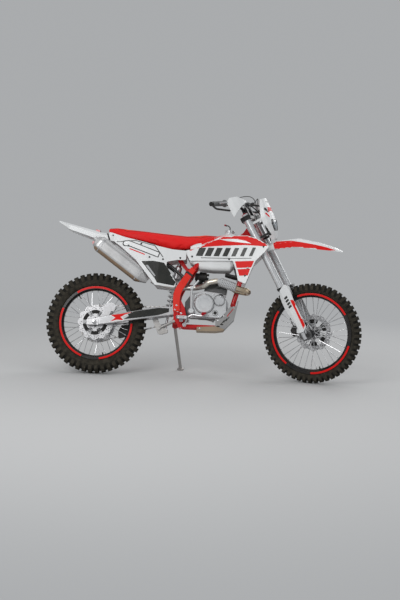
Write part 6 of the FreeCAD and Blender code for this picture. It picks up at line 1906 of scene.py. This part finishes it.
@dataclass
class Cockpit:
    """Fork, bars, controls, mask and lamp, drawn in the fork's axes."""

    body: str = "steering"
    fork_half: float = 105.0
    offset: float = 22.0

    def grip_line(self, y: float) -> Array:
        """The point of the left grip's middle line at one y."""
        return GRIP_START + (GRIP_END - GRIP_START) * (y - GRIP_START[1]) / (GRIP_END[1] - GRIP_START[1])

    def finishes(self) -> None:
        """Finishes of the steered nodes."""
        for name, finish in (
            ("fork_tubes", FORK_ALLOY), ("fork_clamps", BLACK_METAL), ("handlebar", BLACK_METAL),
            ("fork_guards", WHITE), ("front_caliper", BLACK_METAL), ("headlight", BLACK_PLASTIC),
        ):
            dress(name, finish)
        dress("fork_sliders", COVER_ALLOY, [(DARK_ALLOY_AND_SHADE, FORK, (-80, -160, -80), (80, 160, 36))])
        dress("number_mask", WHITE, [(BLACK_PLASTIC, FORK, (0, -100, 720), (120, 100, 860))])
        self.shields(dress("hand_guards", BLACK_PLASTIC))
        dress("front_axle", BLACK_METAL, [(STEEL, FORK, (20, -100, -30), (70, 100, 30))])
        levers = [(BRIGHT_STEEL, FORK, (-80, side * 330 - 62, 1000), (60, side * 330 + 62, 1060)) for side in (-1, 1)]
        dress("controls", BLACK_METAL, levers)

    def shields(self, node: Piece) -> None:
        """Gives the hand guards' shields the white finish: faces within 6 mm of the shield's plan curve."""
        node.data.materials.append(WHITE.material())
        local = FORK.from_row(of_faces(node.data, "center"))
        out = np.abs(local[:, 1])
        reach = np.interp(out, (196, 232, 276, 312, 334), (96, 88, 68, 40, 8))
        near = (np.abs(local[:, 0] - reach) < 6) & (out > 190) & (out < 336)
        node.data.polygons.foreach_set("material_index", near.astype(np.int32))

    def grips(self) -> None:
        """Grips: a lathe with ribs along it, radius 15.6, or 16.9 where a rib is, an inner flange and a bright end."""
        shape = Shape()
        for side in (-1, 1):
            inner, outer = (self.grip_line(GRIP_END[1] - short) * [1, side, 1] for short in (126, 2))
            run = outer - inner
            length = float(np.linalg.norm(run))
            rows = [(0.0, 11.0), (0.0, 23.5), (1.5, 24.8), (4.0, 24.8), (6.0, 17.0)]
            for k in range(22):
                y = 8.0 + k * (length - 12) / 22
                rows += [(y, 15.6), (y + 0.6, 16.9), (y + 3.2, 16.9), (y + 3.8, 15.6)]
            rows += [(length - 1, 15.8), (length, 14.8), (length, 11.0)]
            shape.add(along_axis(lathe(rows, 40, closed=True), inner, run))
            cap = lathe([(0, 0), (0, 14.6), (10, 14.6), (14, 12), (15.5, 6), (15.5, 0)], 32)
            shape.add(along_axis(cap, inner + run + run / length * 1.5, run), 1)
        shape.make("grips_dressed", FORK, self.body, [RUBBER_GREY, BRIGHT_STEEL], 40, ["grips"])

    def fork_trim(self) -> None:
        """Dust seals, cap adjusters, clamp bolts, axle pinch bolts and the bar clamps' bolts."""
        dark, bright = Shape(), Shape()
        rows = [(-6, 22.2), (-6, 26.5), (-3, 28.4), (4, 29.3), (12, 29.3), (15, 27.4), (15, 22.2)]
        seal = lathe(rows, 48, closed=True)
        cap = lathe([(0, 0), (0, 20), (3, 20), (4, 18), (4, 10), (8, 9.4), (8, 0)], 24)
        for side in (-1, 1):
            dark.add(along_axis(seal, (self.offset, side * self.fork_half, 356), (0, 0, 1)))
            bright.add(along_axis(cap, (self.offset, side * self.fork_half, 923.5), (0, 0, 1)), 1)
            for u in (663.0, 681.0, 895.0):
                at = np.array([[self.offset - 38.0, side * (self.fork_half - 16), u]])
                bright.add(bolts(at, np.array([[-1.0, 0, 0]]), 3.6, 3.4))
            for u in (2.0, -14.0):
                at = np.array([[30.0, side * self.fork_half, u - 14]])
                bright.add(bolts(at, np.array([[-0.5, 0, -1.0]]), 3.0, 2.6))
            for a in (10.0, 34.0):
                bright.add(bolts(np.array([[a, side * 50, 974.0]]), np.array([[0, 0, 1.0]]), 3.4, 3.6))
        dark.make("fork_seals", FORK, self.body, [RUBBER])
        bright.make("fork_fixings", FORK, self.body, [BRIGHT_STEEL, RED_ANODISED])

    def guard_stickers(self) -> None:
        """Red wedge and dark dashes down the outside of each fork guard, and short slashes on the mask."""
        skin = Skin([frame_node("fork_guards")], FORK)
        wedge = ((50, 262), (72, 254), (68, 140), (63, 66), (44, 48), (48, 110), (50, 180))
        dash = ((18, 292), (42, 300), (44, 286), (20, 278))
        for side in Side:
            Sticker("guard_wedge", wedge, 3.0, 0.5, 6.0).lay(skin, side, self.body, RED_FILM)
            for number in range(4):
                drop = number * 22.0
                rows = tuple((x, u - drop) for x, u in dash)
                Sticker(f"guard_dash_{number}", rows, 1.0, 0.5, 6.0).lay(skin, side, self.body, DARK_FILM)
        mask = Skin([frame_node("number_mask")], FORK, axis=0)
        slashes = (
            (((-60, 866), (-46, 904), (46, 904), (60, 866), (24, 878), (-24, 878)), RED_FILM),
            (((-88, 898), (-72, 908), (-56, 872), (-68, 866)), DARK_FILM),
            (((88, 898), (72, 908), (56, 872), (68, 866)), DARK_FILM),
            (((-94, 866), (-84, 872), (-66, 834), (-74, 832)), RED_FILM),
            (((94, 866), (84, 872), (66, 834), (74, 832)), RED_FILM),
            (((-30, 948), (30, 948), (24, 940), (-24, 940)), DARK_FILM),
        )
        for number, (outline, finish) in enumerate(slashes):
            # the skin is looked at along X, so that the side of the greater coordinate is the front
            Sticker(f"mask_slash_{number}", outline, 2.0, 0.5, 6.0).lay(mask, Side.LEFT, self.body, finish)

    def lamp(self) -> None:
        """Headlight: a clear lens domed as a parabola over the window, its bezel and two bright rings."""
        centre = np.array([0.0, 779.0])
        outline = round_corners([(-58, 811), (58, 811), (65, 789), (37, 742), (-37, 742), (-65, 789)], 14, 6)
        flat, triangles = filled(outline, 5.0)
        skin = Skin([frame_node("headlight")], FORK, axis=0)
        front = skin.lift(flat, 1, 0.6)
        reach = np.linalg.norm((flat - centre) / [60, 34], axis=1)
        front[:, 0] += 2.4 * np.clip(1 - reach**2, 0, 1)
        lens = Shape().add(slab(front - [1.6, 0, 0], front, triangles))
        lens.make("headlight_lens", FORK, self.body, [LENS], 50)
        bezel = Shape().add(sweep(skin.lift(outline, 1, 1.2), 2.0, 8, wrap=True))
        for radius, u in ((21.0, 786.0), (8.0, 755.0)):
            bezel.add(sweep(skin.lift(circle(radius, 40, (0.0, u)), 1, -0.6), 1.8, 8, wrap=True), 1)
        bezel.make("headlight_bezel", FORK, self.body, [BLACK_PLASTIC, REFLECTOR])

    def cables(self) -> None:
        """Front brake hose on its own route, and the throttle and clutch cables that loop ahead of the bars."""
        hose = ((-60, 66, 98), (-66, 76, 150), (-30, 112, 260), (-14, 118, 420), (0, 138, 600), (36, 146, 700),
                (76, 120, 760), (92, 60, 860), (86, -60, 960), (56, -190, 1004), (28, -240, 1016))
        throttle = ((20, -262, 1020), (52, -240, 1026), (92, -170, 1026), (116, -80, 1014), (112, -20, 980),
                    (84, 4, 930), (40, 16, 880))
        clutch = ((20, 262, 1020), (50, 240, 1024), (88, 170, 1022), (108, 90, 1006), (98, 40, 960), (66, 24, 900),
                  (34, 26, 850))
        self.cord("brake_hose_dressed", hose, 8.0, RUBBER, ("brake_hose",))
        self.cord("throttle_cable", throttle, 5.0, RUBBER)
        self.cord("clutch_cable", clutch, 5.0, RUBBER)

    def cord(self, name: str, route: Sequence[tuple], diameter: float, finish: Finish, stands_for: tuple = ()) -> None:
        """A flexible line as one NURBS spline on its route's points.

        Args:
            name: the piece's name.
            route: the route's points, in millimetres of the fork's axes.
            diameter: its thickness in millimetres.
            finish: its finish.
            stands_for: nodes that it replaces.
        """
        points = FORK.to_row(np.array(route, float))
        curve = bpy.data.curves.new(name, "CURVE")
        curve.dimensions = "3D"
        curve.resolution_u = 12
        curve.render_resolution_u = 12
        curve.bevel_depth = diameter / 2 * MM
        curve.bevel_resolution = 3
        curve.use_fill_caps = True
        spline = curve.splines.new("NURBS")
        spline.points.add(len(points) - 1)
        for point, row in zip(spline.points, points):
            point.co = (*row, 1.0)
        spline.order_u = 3
        spline.use_endpoint_u = True
        piece = linked(name, curve)
        curve.materials.append(finish.material())
        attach(piece, self.body)
        if stands_for:
            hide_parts(*stands_for)

    def build(self) -> None:
        """Builds and dresses the steering."""
        self.finishes()
        self.grips()
        self.fork_trim()
        self.guard_stickers()
        self.lamp()
        self.cables()


# Stage

BACKDROP = (0.40, 0.41, 0.42, 1.0)


@dataclass
class Studio:
    """Floor, soft lights and the camera at the photograph's angle."""

    camera_at: tuple[float, float, float] = (0.1223, -6.9947, 1.225)
    yaw: float = -1.25
    down: float = 5.8
    roll: float = 2.58
    focal: float = 40.0
    frame_height: float = 24.0

    def floor(self) -> None:
        """A plain pale floor: lit and shadowed under the bike, fading with distance into the background."""
        mesh = bpy.data.meshes.new("floor")
        corners = np.array([(-60, -60, 0), (60, -60, 0), (60, 60, 0), (-60, 60, 0)], float)
        mesh.from_pydata(corners.tolist(), [], [[0, 1, 2, 3]])
        floor = linked("floor", mesh)
        material = bpy.data.materials.new("pale floor")
        nodes = emptied(material)
        away = nodes.vector("LENGTH", nodes.where())
        far = nodes.add("ShaderNodeMapRange", {0: away, 1: 1.3, 2: 4.6}, interpolation_type="SMOOTHSTEP").outputs[0]
        path = nodes.add("ShaderNodeLightPath").outputs
        seen = nodes.maths("MAXIMUM", path["Is Camera Ray"], path["Is Glossy Ray"])
        seen = nodes.maths("MAXIMUM", seen, path["Is Transmission Ray"])
        lit = nodes.add("ShaderNodeBsdfDiffuse", {0: (0.60, 0.60, 0.595, 1)})
        glow = nodes.add("ShaderNodeEmission", {0: BACKDROP, 1: 1.0})
        share = nodes.times(far, seen)
        mixed = nodes.add("ShaderNodeMixShader", {0: share, 1: lit.outputs[0], 2: glow.outputs[0]})
        nodes.add("ShaderNodeOutputMaterial", {0: mixed.outputs[0]})
        mesh.materials.append(material)

    def world(self) -> None:
        """Even light from all round, with a pale background where the camera or a reflection sees it."""
        world = bpy.data.worlds.new("soft sky")
        bpy.context.scene.world = world
        nodes = emptied(world)
        path = nodes.add("ShaderNodeLightPath").outputs
        seen = nodes.maths("MAXIMUM", path["Is Camera Ray"], path["Is Transmission Ray"])
        share = nodes.maths("MAXIMUM", seen, nodes.times(path["Is Glossy Ray"], 0.6))
        light = nodes.add("ShaderNodeBackground", {0: (0.93, 0.96, 1.0, 1), 1: 0.42})
        back = nodes.add("ShaderNodeBackground", {0: BACKDROP, 1: 1.0})
        mixed = nodes.add("ShaderNodeMixShader", {0: share, 1: light.outputs[0], 2: back.outputs[0]})
        nodes.add("ShaderNodeOutputWorld", {0: mixed.outputs[0]})

    def lamps(self) -> None:
        """Large soft lights: one high at the camera's side, one high above, a weaker one behind and a low fill."""
        for name, at, aim, size, power in (
            ("key", (-2.4, -5.0, 3.4), (0, 0, 0.5), 3.0, 150.0),
            ("sky", (0.4, 0.2, 5.6), (0, 0, 0.4), 4.5, 55.0),
            ("rim", (2.8, 3.8, 3.2), (0, 0, 0.6), 3.0, 60.0),
            ("fill", (3.8, -3.4, 1.6), (0, 0, 0.5), 3.0, 30.0),
        ):
            data = bpy.data.lights.new(name, "AREA")
            data.size = size
            data.energy = power
            lamp = linked(name, data)
            lamp.location = at
            lamp.rotation_euler = (Vector(aim) - Vector(at)).to_track_quat("-Z", "Y").to_euler()

    def camera(self) -> None:
        """The camera: right = cos(roll) right0 + sin(roll) up0, looking along the yawed and lowered forward axis."""
        yaw, down, roll = (math.radians(v) for v in (self.yaw, self.down, self.roll))
        forward = np.array([math.sin(yaw) * math.cos(down), math.cos(yaw) * math.cos(down), -math.sin(down)])
        level = np.array([math.cos(yaw), -math.sin(yaw), 0.0])
        above = np.cross(level, forward)
        right = level * math.cos(roll) + above * math.sin(roll)
        up = above * math.cos(roll) - level * math.sin(roll)
        data = bpy.data.cameras.new("photo_camera")
        data.sensor_fit = "VERTICAL"
        data.sensor_height = self.frame_height
        data.lens = self.focal
        data.clip_end = 200.0
        camera = linked("photo_camera", data)
        matrix = np.eye(4)
        matrix[:3, 0], matrix[:3, 1], matrix[:3, 2], matrix[:3, 3] = right, up, -forward, self.camera_at
        camera.matrix_world = Matrix(matrix.tolist())
        bpy.context.scene.camera = camera

    def build(self) -> None:
        """Builds the stage."""
        self.floor()
        self.world()
        self.lamps()
        self.camera()
        bpy.context.scene.view_settings.view_transform = "Standard"


def clear_scene() -> None:
    """Empties Blender's opening scene."""
    for item in list(bpy.data.objects):
        bpy.data.objects.remove(item, do_unlink=True)


def main() -> None:
    """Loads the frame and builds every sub-assembly."""
    logging.basicConfig(level=logging.INFO, format="%(message)s")
    clear_scene()
    FRAME.update(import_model())
    studio = Studio()
    studio.build()
    parts = [
        Wheel("rear", 345.0, 108.0, 252.0, 66.0, 29.0, 36.0, 36.0, -68.0, 120.0, True,
              ((33, 124), (158, 249), (278, 361))),
        Wheel("front", 342.0, 86.0, 278.0, 52.0, 30.0, 29.0, 32.0, 60.0, 130.0, False,
              ((31, 112), (148, 232), (271, 345)), pitches=52, lug=13.0),
        Drive(),
        Chassis(),
        Bodywork(),
        Cockpit(),
    ]
    for part in parts:
        part.build()
        LOG.info("%s done", type(part).__name__)


if __name__ == "__main__":
    main()
